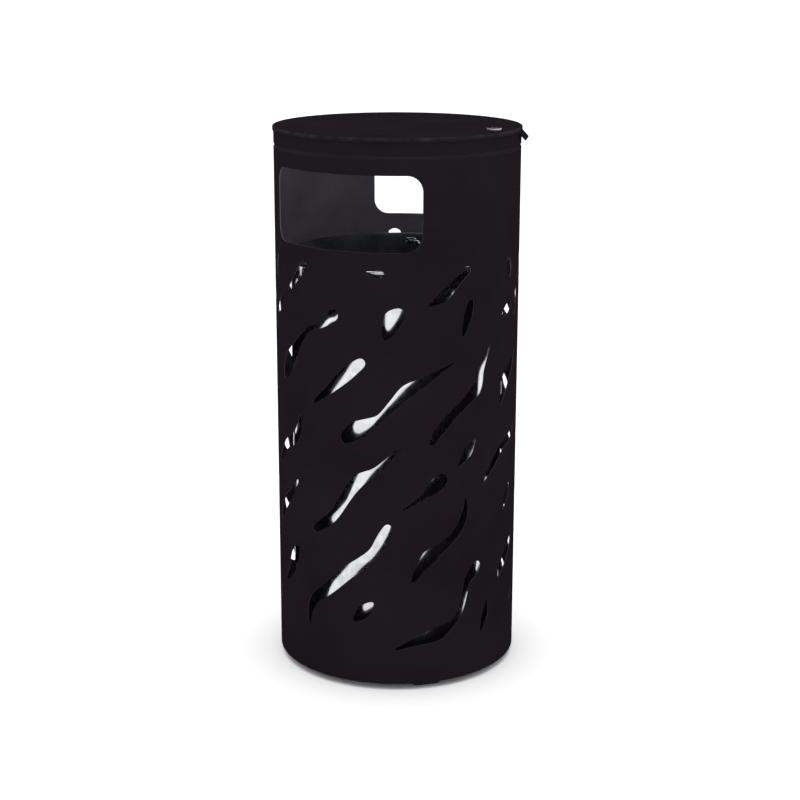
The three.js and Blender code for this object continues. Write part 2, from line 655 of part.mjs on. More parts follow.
add("liner_wall", linerWall(), GALVANISED);
add("liner_rim_bead", linerRimBead(), GALVANISED);
add("liner_bottom", linerBottom(), GALVANISED);
for (const ear of EARS) {
  add(`liner_ear_${ear.place}`, linerEar(ear), GALVANISED);
  add(`liner_ear_rivet_${ear.place}`, linerEarRivet(ear), GALVANISED);
}
add("liner_handle_front", linerHandle(0), GALVANISED);
add("liner_handle_rear", linerHandle(180), GALVANISED);

export default litterBin;
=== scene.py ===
"""Looks of a round perforated litter bin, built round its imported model. Sizes are in millimetres unless a
name says otherwise, and to_metres() turns them into Blender's units."""

import math

import bmesh
import bpy
import numpy as np
from mathutils import Matrix, Vector
from mathutils.geometry import delaunay_2d_cdt
from mathutils.kdtree import KDTree


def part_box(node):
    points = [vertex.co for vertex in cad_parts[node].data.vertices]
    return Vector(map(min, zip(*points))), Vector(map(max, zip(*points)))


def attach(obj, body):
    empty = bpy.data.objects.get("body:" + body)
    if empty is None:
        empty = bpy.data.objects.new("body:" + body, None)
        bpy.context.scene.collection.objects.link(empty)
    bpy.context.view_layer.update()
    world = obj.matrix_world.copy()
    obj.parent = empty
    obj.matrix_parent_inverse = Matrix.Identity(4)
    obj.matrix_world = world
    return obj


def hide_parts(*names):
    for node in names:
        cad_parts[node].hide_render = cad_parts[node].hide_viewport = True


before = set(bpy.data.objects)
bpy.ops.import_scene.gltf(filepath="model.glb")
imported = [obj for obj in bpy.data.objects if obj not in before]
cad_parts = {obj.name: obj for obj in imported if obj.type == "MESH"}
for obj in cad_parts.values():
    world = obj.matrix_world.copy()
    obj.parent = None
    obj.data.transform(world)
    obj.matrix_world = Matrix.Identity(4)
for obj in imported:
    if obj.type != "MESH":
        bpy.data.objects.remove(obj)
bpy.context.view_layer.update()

MM = 0.001
TURN = 2 * math.pi
Z_AXIS = Vector((0, 0, 1))


# ------------------------------ camera
# The camera stands to the right of the front window and looks a little down on the lid.
CAMERA_AZIMUTH = math.radians(29.2)
CAMERA_PITCH = math.radians(15.048)
CAMERA_ROLL = math.radians(0.09)
CAMERA_DISTANCE_M = 2.66
CAMERA_HEIGHT_M = 1.1303
CAMERA_LENS = 77.67
CAMERA_SHIFT = 0.0038


def make_camera():
    data = bpy.data.cameras.new("camera")
    data.lens = CAMERA_LENS
    data.sensor_width = 36
    data.shift_x = CAMERA_SHIFT
    data.clip_end = 200
    camera = bpy.data.objects.new("camera", data)
    place = Matrix.Translation((
        math.sin(CAMERA_AZIMUTH) * CAMERA_DISTANCE_M,
        -math.cos(CAMERA_AZIMUTH) * CAMERA_DISTANCE_M,
        CAMERA_HEIGHT_M,
    ))
    turn = Matrix.Rotation(CAMERA_AZIMUTH, 4, "Z")
    tilt = Matrix.Rotation(math.pi / 2 - CAMERA_PITCH, 4, "X")
    roll = Matrix.Rotation(CAMERA_ROLL, 4, "Z")
    camera.matrix_world = place @ turn @ tilt @ roll
    bpy.context.scene.collection.objects.link(camera)
    bpy.context.scene.camera = camera


make_camera()


# ------------------------------ materials
class Shader:
    """A material on its way: a Principled shader, and the nodes that feed it."""

    def __init__(self, name, **constants):
        self.material = bpy.data.materials.new(name)
        self.material.use_nodes = True
        self.tree = self.material.node_tree
        self.principled = self.tree.nodes["Principled BSDF"]
        for socket, value in constants.items():
            self.principled.inputs[socket.replace("_", " ")].default_value = value
        self.place = self.node("ShaderNodeTexCoord").outputs["Object"]

    def node(self, kind, inputs=None, **settings):
        made = self.tree.nodes.new(kind)
        for key, value in settings.items():
            setattr(made, key, value)
        for socket, value in (inputs or {}).items():
            if isinstance(value, bpy.types.NodeSocket):
                self.tree.links.new(value, made.inputs[socket])
            else:
                made.inputs[socket].default_value = value
        return made

    def noise(self, scale, detail=2.0, roughness=0.5, place=None):
        inputs = {"Vector": place or self.place, "Scale": scale, "Detail": detail, "Roughness": roughness}
        return self.node("ShaderNodeTexNoise", inputs).outputs["Fac"]

    def stretched(self, x, y, z):
        """Object coordinates scaled along each axis."""
        return self.node("ShaderNodeMapping", {"Vector": self.place, "Scale": (x, y, z)}).outputs["Vector"]

    def ranged(self, value, low, high, to_low, to_high):
        inputs = {"Value": value, "From Min": low, "From Max": high, "To Min": to_low, "To Max": to_high}
        return self.node("ShaderNodeMapRange", inputs, clamp=True).outputs["Result"]

    def mixed(self, share, first, second):
        """Two colours mixed. The node's sockets for colours are inputs 6 and 7 and output 2."""
        return self.node("ShaderNodeMix", {0: share, 6: first, 7: second}, data_type="RGBA").outputs[2]

    def math(self, operation, first, second):
        return self.node("ShaderNodeMath", {0: first, 1: second}, operation=operation).outputs["Value"]

    def attribute(self, name):
        return self.node("ShaderNodeAttribute", attribute_name=name).outputs["Fac"]

    def bump(self, height, strength, distance, under=None):
        inputs = {"Height": height, "Strength": strength, "Distance": distance}
        if under:
            inputs["Normal"] = under
        return self.node("ShaderNodeBump", inputs).outputs["Normal"]

    def feed(self, socket, value):
        self.tree.links.new(value, self.principled.inputs[socket])


def colour(red, green, blue):
    """A shader colour from display values out of 255."""
    return (*[((value / 255 + 0.055) / 1.055) ** 2.4 if value > 10 else value / 255 / 12.92
              for value in (red, green, blue)], 1)


def powder_coat():
    """Near-black powder coat: a fine orange peel, a slow drift of tone, and edges that are a little worn;
    where the edge mark is strong they get a painted highlight. Where the inside mark is set, the coat is
    lightened as painted light."""
    shader = Shader("powder_coat", Metallic=0.0, Specular_IOR_Level=0.0)
    drift = shader.noise(7.0, 4.0, 0.6)
    grain = shader.noise(1400.0, 1.0)
    body = shader.mixed(shader.ranged(drift, 0.3, 0.7, 0, 1), colour(24, 20, 23), colour(30, 25, 29))
    speckled = shader.mixed(shader.ranged(grain, 0.62, 0.75, 0, 0.3), body, colour(44, 38, 43))
    # The edge mark lightens edges: a little wear round the drum's openings, and a painted highlight where the
    # mark is strong, as on the cap's rim.
    wear_and_highlight_noise = shader.ranged(shader.noise(60.0), 0.4, 0.7, 0.02, 0.14)
    wear_and_highlight = shader.math("MULTIPLY", shader.attribute("edge"), wear_and_highlight_noise)
    with_wear_and_highlight = shader.mixed(wear_and_highlight, speckled, colour(50, 44, 48))
    # Painted light: the inside mark mixes the coat unevenly towards a light grey, most inside the drum near
    # its windows.
    dust_and_painted_light = shader.ranged(shader.noise(16.0, 5.0, 0.6), 0.3, 0.7, 0.75, 1.0)
    painted_light_share = shader.math("MULTIPLY", shader.attribute("inside"), dust_and_painted_light)
    shader.feed("Base Color", shader.mixed(painted_light_share, with_wear_and_highlight, colour(128, 123, 134)))
    shader.feed("Roughness", shader.ranged(shader.noise(35.0, 3.0), 0.3, 0.7, 0.42, 0.58))
    peel = shader.bump(shader.noise(900.0, 2.0), 0.25, 0.00012)
    shader.feed("Normal", shader.bump(shader.noise(28.0, 2.0), 0.03, 0.0004, peel))
    return shader.material


def galvanised():
    """Glossy zinc-coated sheet: crystals of slightly different tone, faint streaks and a dull bloom."""
    shader = Shader("galvanised", Specular_IOR_Level=0.1)
    cells = shader.node(
        "ShaderNodeTexVoronoi", {"Vector": shader.place, "Scale": 95.0, "Randomness": 1.0}, feature="F1")
    crystal = shader.node("ShaderNodeSeparateColor", {"Color": cells.outputs["Color"]}).outputs["Red"]
    streak = shader.noise(1.0, 3.0, 0.6, shader.stretched(70, 70, 6))
    bloom = shader.noise(9.0, 5.0, 0.6)
    tone = shader.mixed(shader.ranged(crystal, 0, 1, 0.1, 0.9), colour(188, 190, 193), colour(222, 223, 224))
    dulled = shader.mixed(shader.ranged(bloom, 0.45, 0.75, 0, 0.5), tone, colour(176, 179, 184))
    streaked = shader.mixed(shader.ranged(streak, 0.55, 0.8, 0, 0.3), dulled, colour(150, 152, 156))
    # Where the inside mark is set the sheet turns a dark, dull blue-grey: painted shade, with some grime.
    shade_and_grime_noise = shader.ranged(shader.noise(14.0, 5.0, 0.6), 0.3, 0.7, 0.85, 1.0)
    shade_and_grime = shader.math("MULTIPLY", shader.attribute("inside"), shade_and_grime_noise)
    shader.feed("Base Color", shader.mixed(shade_and_grime, streaked, colour(46, 50, 58)))
    clean = shader.ranged(crystal, 0, 1, 0.08, 0.14)
    rough = shader.math("ADD", clean, shader.ranged(bloom, 0.3, 0.7, 0, 0.06))
    shader.feed("Roughness", shader.math("ADD", rough, shader.ranged(shade_and_grime, 0, 1, 0, 0.5)))
    facets = shader.bump(crystal, 0.02, 0.0004)
    shader.feed("Normal", shader.bump(shader.noise(400.0, 3.0), 0.03, 0.0001, facets))
    shader.feed("Metallic", shader.math("SUBTRACT", 1.0, shade_and_grime))
    return shader.material


def stainless():
    """Turned and brushed stainless steel."""
    shader = Shader("stainless", Metallic=1.0)
    lines = shader.noise(1.0, 2.0, 0.5, shader.stretched(2500, 2500, 120))
    marks = shader.noise(160.0, 4.0, 0.6)
    shader.feed("Base Color", shader.mixed(marks, colour(196, 196, 194), colour(222, 221, 218)))
    shader.feed("Roughness", shader.ranged(lines, 0.3, 0.7, 0.2, 0.38))
    shader.feed("Normal", shader.bump(lines, 0.1, 0.00005))
    return shader.material


def blackened():
    """Chemically blackened steel, for the lock's turning core."""
    shader = Shader("blackened", Metallic=1.0)
    marks = shader.noise(180.0, 4.0, 0.6)
    shader.feed("Base Color", shader.mixed(marks, colour(40, 38, 39), colour(58, 56, 56)))
    shader.feed("Roughness", shader.ranged(marks, 0.3, 0.7, 0.35, 0.5))
    return shader.material


def zinc_bright():
    """Bright zinc plate with a faint yellow and blue passivation, for nuts and bolts."""
    shader = Shader("zinc_bright", Metallic=1.0)
    tint = shader.noise(120.0, 3.0, 0.6)
    shader.feed("Base Color", shader.mixed(shader.ranged(tint, 0.35, 0.65, 0, 1), colour(200, 202, 208),
                                           colour(214, 209, 192)))
    shader.feed("Roughness", shader.ranged(shader.noise(500.0, 3.0), 0.3, 0.7, 0.24, 0.42))
    shader.feed("Normal", shader.bump(shader.noise(1500.0, 2.0), 0.1, 0.00005))
    return shader.material


def rubber():
    """Moulded black rubber with a fine grain and a little dust."""
    shader = Shader("rubber", Metallic=0.0, Specular_IOR_Level=0.35)
    dust_and_painted_light = shader.noise(45.0, 5.0, 0.65)
    shader.feed("Base Color", shader.mixed(shader.ranged(dust_and_painted_light, 0.5, 0.8, 0, 0.5), colour(24, 24, 25),
                                           colour(62, 60, 58)))
    shader.feed("Roughness", shader.ranged(dust_and_painted_light, 0.3, 0.7, 0.7, 0.9))
    shader.feed("Normal", shader.bump(shader.noise(1100.0, 3.0), 0.3, 0.0001))
    return shader.material


# Each finish is a material slot's name and the material that it gets here.
POWDER_COAT = ("powder_coat", powder_coat())
GALVANISED = ("galvanised", galvanised())
STAINLESS = ("stainless", stainless())
BLACKENED = ("stainless", blackened())
ZINC = ("stainless", zinc_bright())
RUBBER = ("rubber", rubber())


# ------------------------------ mesh building
def to_metres(points):
    return [Vector(point) * MM for point in points]


def around(radius, angle, height):
    """A point at an angle round the bin's axis, in radians: 0 is the front (-Y), and a quarter turn is +X."""
    return Vector((radius * math.sin(angle), -radius * math.cos(angle), height))


def make_object(name, shell, body, finish, nodes=(), sharp=35.0, normals=None, marks=None, bevel=0.0):
    """A finished piece from a shell in millimetres. It rides on a body and may stand for CAD nodes."""
    points, faces = shell
    slot, material = finish
    mesh = bpy.data.meshes.new(name)
    mesh.from_pydata(to_metres(points), [], faces)
    mesh.validate()
    mesh.shade_smooth()
    if normals is None:
        mesh.set_sharp_from_angle(angle=math.radians(sharp))
    else:
        mesh.normals_split_custom_set_from_vertices(normals)
    for mark, values in (marks or {}).items():
        mesh.attributes.new(mark, "FLOAT", "POINT").data.foreach_set("value", values)
    mesh.materials.append(material)
    piece = bpy.data.objects.new(name, mesh)
    bpy.context.scene.collection.objects.link(piece)
    if bevel:
        soft = piece.modifiers.new("soft_edges", "BEVEL")
        soft.width = bevel * MM
        soft.segments = 2
        soft.angle_limit = math.radians(40)
    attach(piece, body)
    if nodes:
        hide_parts(*nodes)


def loft(loops, closed=False):
    """A shell through loops of equally many points. Its ends are filled, or meet when it is closed."""
    count = len(loops[0])
    rows = len(loops)
    points = [point for loop in loops for point in loop]
    faces = []
    for row in range(rows if closed else rows - 1):
        here = row * count
        there = (row + 1) % rows * count
        for i in range(count):
            j = (i + 1) % count
            faces.append((here + i, here + j, there + j, there + i))
    if not closed:
        faces.append(tuple(reversed(range(count))))
        faces.append(tuple(range((rows - 1) * count, rows * count)))
    return points, faces


def joined(*shells):
    """Several shells as one list of points and one of faces."""
    points = []
    faces = []
    for shell_points, shell_faces in shells:
        start = len(points)
        points.extend(shell_points)
        faces.extend(tuple(i + start for i in face) for face in shell_faces)
    return points, faces


def placed(shell, matrix):
    points, faces = shell
    return [matrix @ Vector(point) for point in points], faces


def fillet(corners, radius, closed=True, steps=4):
    """A polygon or a path with its corners rounded. A corner may bring its own radius as a pair."""
    places = []
    radii = []
    for corner in corners:
        own = isinstance(corner[0], (tuple, Vector))
        places.append(Vector(corner[0] if own else corner))
        radii.append(corner[1] if own else radius)
    count = len(places)
    result = []
    for i, place in enumerate(places):
        inner = closed or 0 < i < count - 1
        back = places[i - 1] - place
        ahead = places[(i + 1) % count] - place
        turn = math.pi - back.angle(ahead, math.pi) if inner else 0
        if not inner or turn < math.radians(2) or radii[i] == 0:
            result.append(place)
            continue
        half = (math.pi - turn) / 2
        reach = min(radii[i] / math.tan(half), 0.49 * back.length, 0.49 * ahead.length)
        bend = reach * math.tan(half)
        middle = place + (back.normalized() + ahead.normalized()).normalized() * (bend / math.sin(half))
        start = place + back.normalized() * reach - middle
        end = place + ahead.normalized() * reach - middle
        side = (end - start * (end.dot(start) / start.length_squared)).normalized() * start.length
        for step in range(steps + 1):
            angle = turn * step / steps
            result.append(middle + start * math.cos(angle) + side * math.sin(angle))
    return result


def lathe(profile, steps=160):
    """A shell turned about +Z from (radius, height) points: a closed section, or a line from axis to axis."""
    angles = [TURN * i / steps for i in range(steps)]
    if all(radius > 0 for radius, _ in profile):
        loops = [[around(radius, angle, height) for radius, height in profile] for angle in angles]
        return loft(loops, closed=True)
    rings = profile[1:-1]
    points = [Vector((0, 0, profile[0][1])), Vector((0, 0, profile[-1][1]))]
    points += [around(radius, angle, height) for radius, height in rings for angle in angles]
    faces = []
    for i in range(steps):
        j = (i + 1) % steps
        faces.append((0, 2 + j, 2 + i))
        for row in range(len(rings) - 1):
            here = 2 + row * steps
            faces.append((here + i, here + j, here + steps + j, here + steps + i))
        last = 2 + (len(rings) - 1) * steps
        faces.append((1, last + i, last + j))
    return points, faces


def hexagon(across):
    """The outline of a hexagon that measures this much across its flats."""
    radius = across / math.sqrt(3)
    return [Vector((radius * math.cos(TURN * i / 6), radius * math.sin(TURN * i / 6), 0)) for i in range(6)]


def inset(outline, depth):
    """A closed outline in the XY plane moved inwards. The outline runs anticlockwise."""
    count = len(outline)
    result = []
    for i, point in enumerate(outline):
        along = (outline[(i + 1) % count] - outline[i - 1]).normalized()
        result.append(point + Vector((-along.y, along.x, 0)) * depth)
    return result


def slab(outline, low, high, edge=0.3, steps=3):
    """A plate with rounded edges, from an anticlockwise outline in the XY plane."""
    loops = []
    for step in range(steps + 1):
        angle = math.pi / 2 * step / steps
        loop = inset(outline, edge * (1 - math.sin(angle)))
        loops.append([Vector((p.x, p.y, low + edge * (1 - math.cos(angle)))) for p in loop])
    upper = [[Vector((p.x, p.y, low + high - p.z)) for p in loop] for loop in reversed(loops)]
    return loft(loops + upper)


def rounded_box(half_x, half_y, corner, steps=6):
    """A rounded rectangle in the XY plane, anticlockwise."""
    corners = [(half_x, -half_y, 0), (half_x, half_y, 0), (-half_x, half_y, 0), (-half_x, -half_y, 0)]
    return fillet(corners, corner, steps=steps)


def tube(path, radius, steps=20):
    """A round bar along a flat path, with domed ends."""
    count = len(path)
    tangents = []
    for i in range(count):
        tangents.append((path[min(i + 1, count - 1)] - path[max(i - 1, 0)]).normalized())
    across = (path[1] - path[0]).cross(path[count // 2] - path[0]).normalized()
    loops = []

    def ring(middle, tangent, size):
        up = tangent.cross(across)
        loops.append([middle + (across * math.cos(a) + up * math.sin(a)) * size
                      for a in (TURN * i / steps for i in range(steps))])

    DOME_STEPS = 3
    dome = radius * 0.5
    dome_angles = [math.pi / 2 * step / (DOME_STEPS + 1) for step in range(DOME_STEPS + 1)]
    for angle in reversed(dome_angles):
        ring(path[0] + tangents[0] * dome * (1 - math.sin(angle)), tangents[0], radius * math.cos(angle))
    for i in range(1, count - 1):
        ring(path[i], tangents[i], radius)
    for angle in dome_angles:
        ring(path[-1] - tangents[-1] * dome * (1 - math.sin(angle)), tangents[-1], radius * math.cos(angle))
    return loft(loops)


def facing_out(shell):
    """A working mesh of closed shells, with each face turned to face out."""
    points, faces = shell
    mesh = bpy.data.meshes.new("working")
    mesh.from_pydata([Vector(point) for point in points], [], faces)
    shape = bmesh.new()
    shape.from_mesh(mesh)
    bmesh.ops.recalc_face_normals(shape, faces=shape.faces)
    shape.to_mesh(mesh)
    shape.free()
    return mesh


def mesh_shell(mesh):
    return [vertex.co.copy() for vertex in mesh.vertices], [tuple(face.vertices) for face in mesh.polygons]


# How far a cutter reaches past the surface that it cuts.
PAST = 5


def combined(first, second, operation="DIFFERENCE"):
    """One closed shell cut by, joined with or kept inside another."""
    holders = []
    for shell in (first, second):
        holder = bpy.data.objects.new("working", facing_out(shell))
        bpy.context.scene.collection.objects.link(holder)
        holders.append(holder)
    modifier = holders[0].modifiers.new("cut", "BOOLEAN")
    modifier.object = holders[1]
    modifier.operation = operation
    modifier.solver = "MANIFOLD"
    evaluated = holders[0].evaluated_get(bpy.context.evaluated_depsgraph_get())
    result = mesh_shell(evaluated.to_mesh())
    evaluated.to_mesh_clear()
    for holder in holders:
        mesh = holder.data
        bpy.data.objects.remove(holder)
        bpy.data.meshes.remove(mesh)
    return result


def low_high(node):
    """The lowest and highest corner of a CAD node, in millimetres."""
    low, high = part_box(node)
    return low / MM, high / MM


# ------------------------------ the drum
drum_low, drum_high = low_high("body_drum")
DRUM_RADIUS = drum_high.x
DRUM_WALL = 2.0
EDGE = 0.5
WINDOW = {"half_arc": 134.6, "low": 676, "high": 788, "corner": 24}

# Wave-shaped cut-outs. Each is a spine of (arc, up, width): arc is measured on the drum's outside from the
# middle of the front window, up from the drum's bottom edge, and width is the slot's width across the spine.
CUT_OUTS = {
    "ribbonA": [(-58, 650, 12), (-68, 638, 14), (-98, 607, 8)],
    "dotA": [(54, 646, 8), (64, 645, 15), (73, 645, 10)],
    "ribbonB": [(207, 646, 13), (187, 628, 13), (165, 608, 18), (145, 597, 3)],
    "leafA": [(214, 595, 12), (208, 572, 15), (201, 550, 7)],
    "pebble": [(98, 585, 22), (89, 577, 31), (80, 553, 15)],
    "waveA": [(-3, 579, 20), (-17, 566, 11), (-28, 559, 7), (-50, 552, 7), (-66, 537, 11), (-75, 527, 14),
              (-108, 485, 30), (-118, 470, 20)],
    "leafB": [(-124, 588, 10), (-138, 575, 18), (-152, 562, 8)],
    "leafC": [(-146, 650, 6), (-150, 630, 14), (-152, 610, 6)],
    "dotB": [(305, 644, 16), (309, 630, 18)],
    "leafD": [(344, 600, 8), (340, 580, 16), (334, 560, 8)],
    "leafE": [(314, 580, 12), (302, 573, 18), (288, 567, 8)],
    "leafF": [(42, 510, 16), (16, 489, 21), (-10, 465, 14), (-40, 441, 6)],
    "waveB": [(185, 507, 3), (157, 494, 9), (129, 478, 17), (112, 469, 21), (91, 448, 15), (69, 426, 11),
              (38, 408, 27), (17, 393, 20)],
    "waveC": [(254, 523, 4), (237, 490, 12), (227, 462, 21), (207, 445, 16), (182, 425, 16), (159, 400, 15),
              (152, 388, 12)],
    "leafG": [(342, 505, 5), (322, 480, 16), (299, 460, 26), (287, 430, 8)],
    "waveD": [(102, 383, 3), (88, 367, 7), (64, 344, 11), (40, 329, 19), (25, 312, 19), (11, 290, 17),
              (-2, 270, 16), (-18, 254, 17), (-40, 239, 13)],
    "leafH": [(224, 381, 7), (212, 366, 18), (198, 350, 8)],
    "waveE": [(342, 385, 5), (322, 368, 14), (292, 357, 14), (272, 340, 14), (247, 315, 6)],
    "comma": [(167, 327, 22), (157, 319, 25), (142, 306, 11), (106, 283, 3)],
    "waveF": [(209, 295, 3), (209, 275, 10), (200, 250, 14), (182, 230, 14), (160, 215, 20), (148, 206, 26),
              (133, 188, 16), (123, 170, 8)],
    "waveG": [(83, 255, 13), (75, 238, 18), (62, 215, 16), (42, 195, 20), (18, 177, 21), (-2, 158, 20),
              (-20, 142, 19), (-39, 127, 16), (-53, 105, 13), (-56, 78, 4)],
    "leafI": [(57, 130, 10), (45, 117, 22), (32, 103, 10)],
    "waveH": [(232, 178, 18), (226, 170, 20), (215, 160, 13), (210, 140, 11), (201, 110, 10), (187, 92, 11),
              (162, 79, 23), (132, 71, 16), (95, 57, 3)],
    "leafJ": [(257, 112, 6), (252, 90, 15), (244, 67, 5)],
    "leafK": [(322, 288, 8), (312, 272, 19), (300, 256, 8)],
    "ribbonC": [(339, 205, 8), (322, 180, 17), (297, 160, 18), (287, 145, 6)],
    "dotC": [(342, 106, 8), (336, 92, 10)],
    "leafL": [(-83, 200, 8), (-93, 180, 24), (-108, 150, 18), (-128, 130, 6)],
    "ribbonD": [(-83, 305, 6), (-103, 280, 14), (-125, 258, 16), (-148, 230, 10)],
    "waveI": [(-73, 412, 6), (-78, 390, 14), (-93, 370, 17), (-113, 360, 16), (-133, 340, 14),
              (-153, 320, 6)],
    "dotD": [(-152, 110, 10), (-166, 92, 16)],
    "dotE": [(692, 644, 9), (698, 645, 14), (704, 644, 9)],
}
# The arc of half a turn. Some cut-outs are repeated there as they are, and others are copied by a shift of
# their own along the arc and up.
HALF_TURN = 597
REPEATED_AT_BACK = [
    "ribbonA", "leafA", "pebble", "waveA", "leafC", "leafD", "leafE", "leafF", "waveB", "waveC", "leafG",
    "waveD", "leafH", "waveE", "comma", "waveF", "waveG", "leafI", "waveH", "leafJ", "leafK",
]
MOVED_COPIES = [
    ("ribbonB", 597, -9), ("dotB", 597, -9), ("leafB", 597, 2), ("ribbonC", 607, 20),
    ("leafL", 543, 7), ("ribbonD", 567, 0), ("waveI", 580, 0), ("dotD", 616, -1), ("dotC", 71, -23),
    ("leafD", 80, -4), ("leafE", 163, -32), ("leafH", 252, 52), ("leafK", 625, 49), ("leafA", 754, -20),
    ("leafI", 878, 6), ("pebble", 285, 55), ("leafA", 177, -100), ("leafH", 175, -5), ("leafK", 70, -20),
    ("leafH", 165, -190), ("dotB", 680, 0), ("leafK", 695, 310), ("leafH", 785, 90), ("leafH", 780, -5),
    ("leafK", 690, 0), ("leafA", 790, -385), ("leafJ", 728, 8),
]


def spine_samples(spine, spacing):
    """Points, widths and directions along the centripetal Catmull-Rom curve through a spine."""
    knots = np.array(spine, float)
    knots = np.vstack([2 * knots[0] - knots[1], knots, 2 * knots[-1] - knots[-2]])
    samples = []
    slopes = []
    for i in range(1, len(knots) - 2):
        p0, p1, p2, p3 = knots[i - 1:i + 3]
        d0, d1, d2 = (np.sqrt(np.linalg.norm(b - a)) for a, b in ((p0, p1), (p1, p2), (p2, p3)))
        t1 = ((p1 - p0) / d0 - (p2 - p0) / (d0 + d1) + (p2 - p1) / d1) * d1
        t2 = ((p2 - p1) / d1 - (p3 - p1) / (d1 + d2) + (p3 - p2) / d2) * d1
        square = -3 * p1 + 3 * p2 - 2 * t1 - t2
        cube = 2 * p1 - 2 * p2 + t1 + t2
        steps = max(2, round(np.linalg.norm(p2[:2] - p1[:2]) / spacing))
        last = i == len(knots) - 3
        for t in np.linspace(0, 1, steps + 1)[:None if last else -1]:
            samples.append(p1 + t1 * t + square * t * t + cube * t ** 3)
            slopes.append(t1 + 2 * square * t + 3 * cube * t * t)
    samples = np.array(samples)
    along = np.array(slopes)[:, :2]
    return samples[:, :2], samples[:, 2] / 2, along / np.linalg.norm(along, axis=1)[:, None]


def cut_out_outline(spine, spacing=3.6):
    """The anticlockwise edge of a cut-out: both sides of its spine, with round ends."""
    END_STEPS = 7
    middles, halves, along = spine_samples(spine, spacing)
    right = np.stack([along[:, 1], -along[:, 0]], axis=1)

    def end(i, way):
        turns = [math.pi * step / END_STEPS for step in range(1, END_STEPS)]
        arc = [right[i] * math.cos(turn) + along[i] * math.sin(turn) for turn in turns]
        return [middles[i] + spoke * halves[i] * way for spoke in arc]

    right_side = middles + right * halves[:, None]
    left_side = middles - right * halves[:, None]
    # A point of the edge is dropped where a wider part of the slot covers it, or too near the one before.
    NEAR = 0.985
    SLACK = 0.02
    CLOSEST = 0.8
    outline = []
    for point in [*right_side, *end(-1, 1), *left_side[::-1], *end(0, -1)]:
        covered = (np.linalg.norm(middles - point, axis=1) < halves * NEAR - SLACK).any()
        if not covered and (not outline or np.linalg.norm(point - outline[-1]) > CLOSEST):
            outline.append(point)
    outline = np.array(outline)
    for _ in range(2):
        outline = outline * 0.5 + np.roll(outline, 1, axis=0) * 0.25 + np.roll(outline, -1, axis=0) * 0.25
    return outline


def window_outline(middle_arc):
    """The anticlockwise edge of a deposit window, with points along its straight sides."""
    SPACING = 5.0
    half_height = (WINDOW["high"] - WINDOW["low"]) / 2
    corners = rounded_box(WINDOW["half_arc"], half_height, WINDOW["corner"], steps=10)
    points = []
    for i, start in enumerate(corners):
        end = corners[(i + 1) % len(corners)]
        pieces = max(1, round((end - start).length / SPACING))
        points += [start.lerp(end, piece / pieces) for piece in range(pieces)]
    shift = np.array([middle_arc, (WINDOW["high"] + WINDOW["low"]) / 2])
    return np.array([(p.x, p.y) for p in points]) + shift


def drum_outlines():
    """Every opening of the drum as an array of (arc, height)."""
    cuts = [(name, 0, 0) for name in CUT_OUTS]
    cuts += [(name, HALF_TURN, 0) for name in REPEATED_AT_BACK]
    cuts += MOVED_COPIES
    outlines = [cut_out_outline(CUT_OUTS[name]) + np.array([arc, up]) for name, arc, up in cuts]
    outlines += [window_outline(0), window_outline(math.pi * DRUM_RADIUS)]
    return [outline + np.array([0, drum_low.z]) for outline in outlines]


def with_directions(outline):
    """An opening's edge and, at each point, the direction from the opening into the sheet."""
    along = np.roll(outline, -1, axis=0) - np.roll(outline, 1, axis=0)
    along /= np.linalg.norm(along, axis=1)[:, None]
    return outline, np.stack([along[:, 1], -along[:, 0]], axis=1)


def sheet_points(curves, rim_arcs, spacing):
    """All points of the flat sheet as (arc, height): those beside its edges, then an even grid that keeps
    clear of them."""
    CLEAR = 0.6
    bottom = drum_low.z
    top = drum_high.z
    beside = np.vstack([outline + inward * EDGE for outline, inward in curves])
    tree = KDTree(len(beside))
    for i, (arc, height) in enumerate(beside):
        tree.insert(around(DRUM_RADIUS, arc / DRUM_RADIUS, height), i)
    tree.balance()
    grid = []
    rows = round((top - bottom) / (spacing * math.sqrt(3) / 2))
    for row in range(1, rows):
        height = bottom + (top - bottom) * row / rows
        for arc in rim_arcs + (row % 2) * spacing / 2:
            if tree.find(around(DRUM_RADIUS, arc / DRUM_RADIUS, height))[2] > spacing * CLEAR:
                grid.append((arc, height))
    return np.vstack([beside, grid])


def sheet_triangles(sheet, loops):
    """Triangles that cover the sheet but not its openings, and the sheet points that their corners stand for.
    The sheet is laid out flat as a ring round the origin, so that its two ends meet."""
    MERGE = 1e-7
    spread = np.exp((sheet[:, 1] - drum_low.z) / DRUM_RADIUS)
    angles = -sheet[:, 0] / DRUM_RADIUS
    flat = [Vector((x, y)) for x, y in zip(spread * np.cos(angles), spread * np.sin(angles))]
    inner_rim, outer_rim = loops[-2:]
    rim_edges = list(zip(outer_rim, outer_rim[1:] + outer_rim[:1]))
    regions = [*loops[:-2], inner_rim[::-1]]
    _, _, triangles, origins, _, regions_of = delaunay_2d_cdt(flat, rim_edges, regions, 0, MERGE)
    if any(not olds for olds in origins):
        raise ValueError("two outlines of the drum cross")
    return [face for face, inside in zip(triangles, regions_of) if not inside], origins


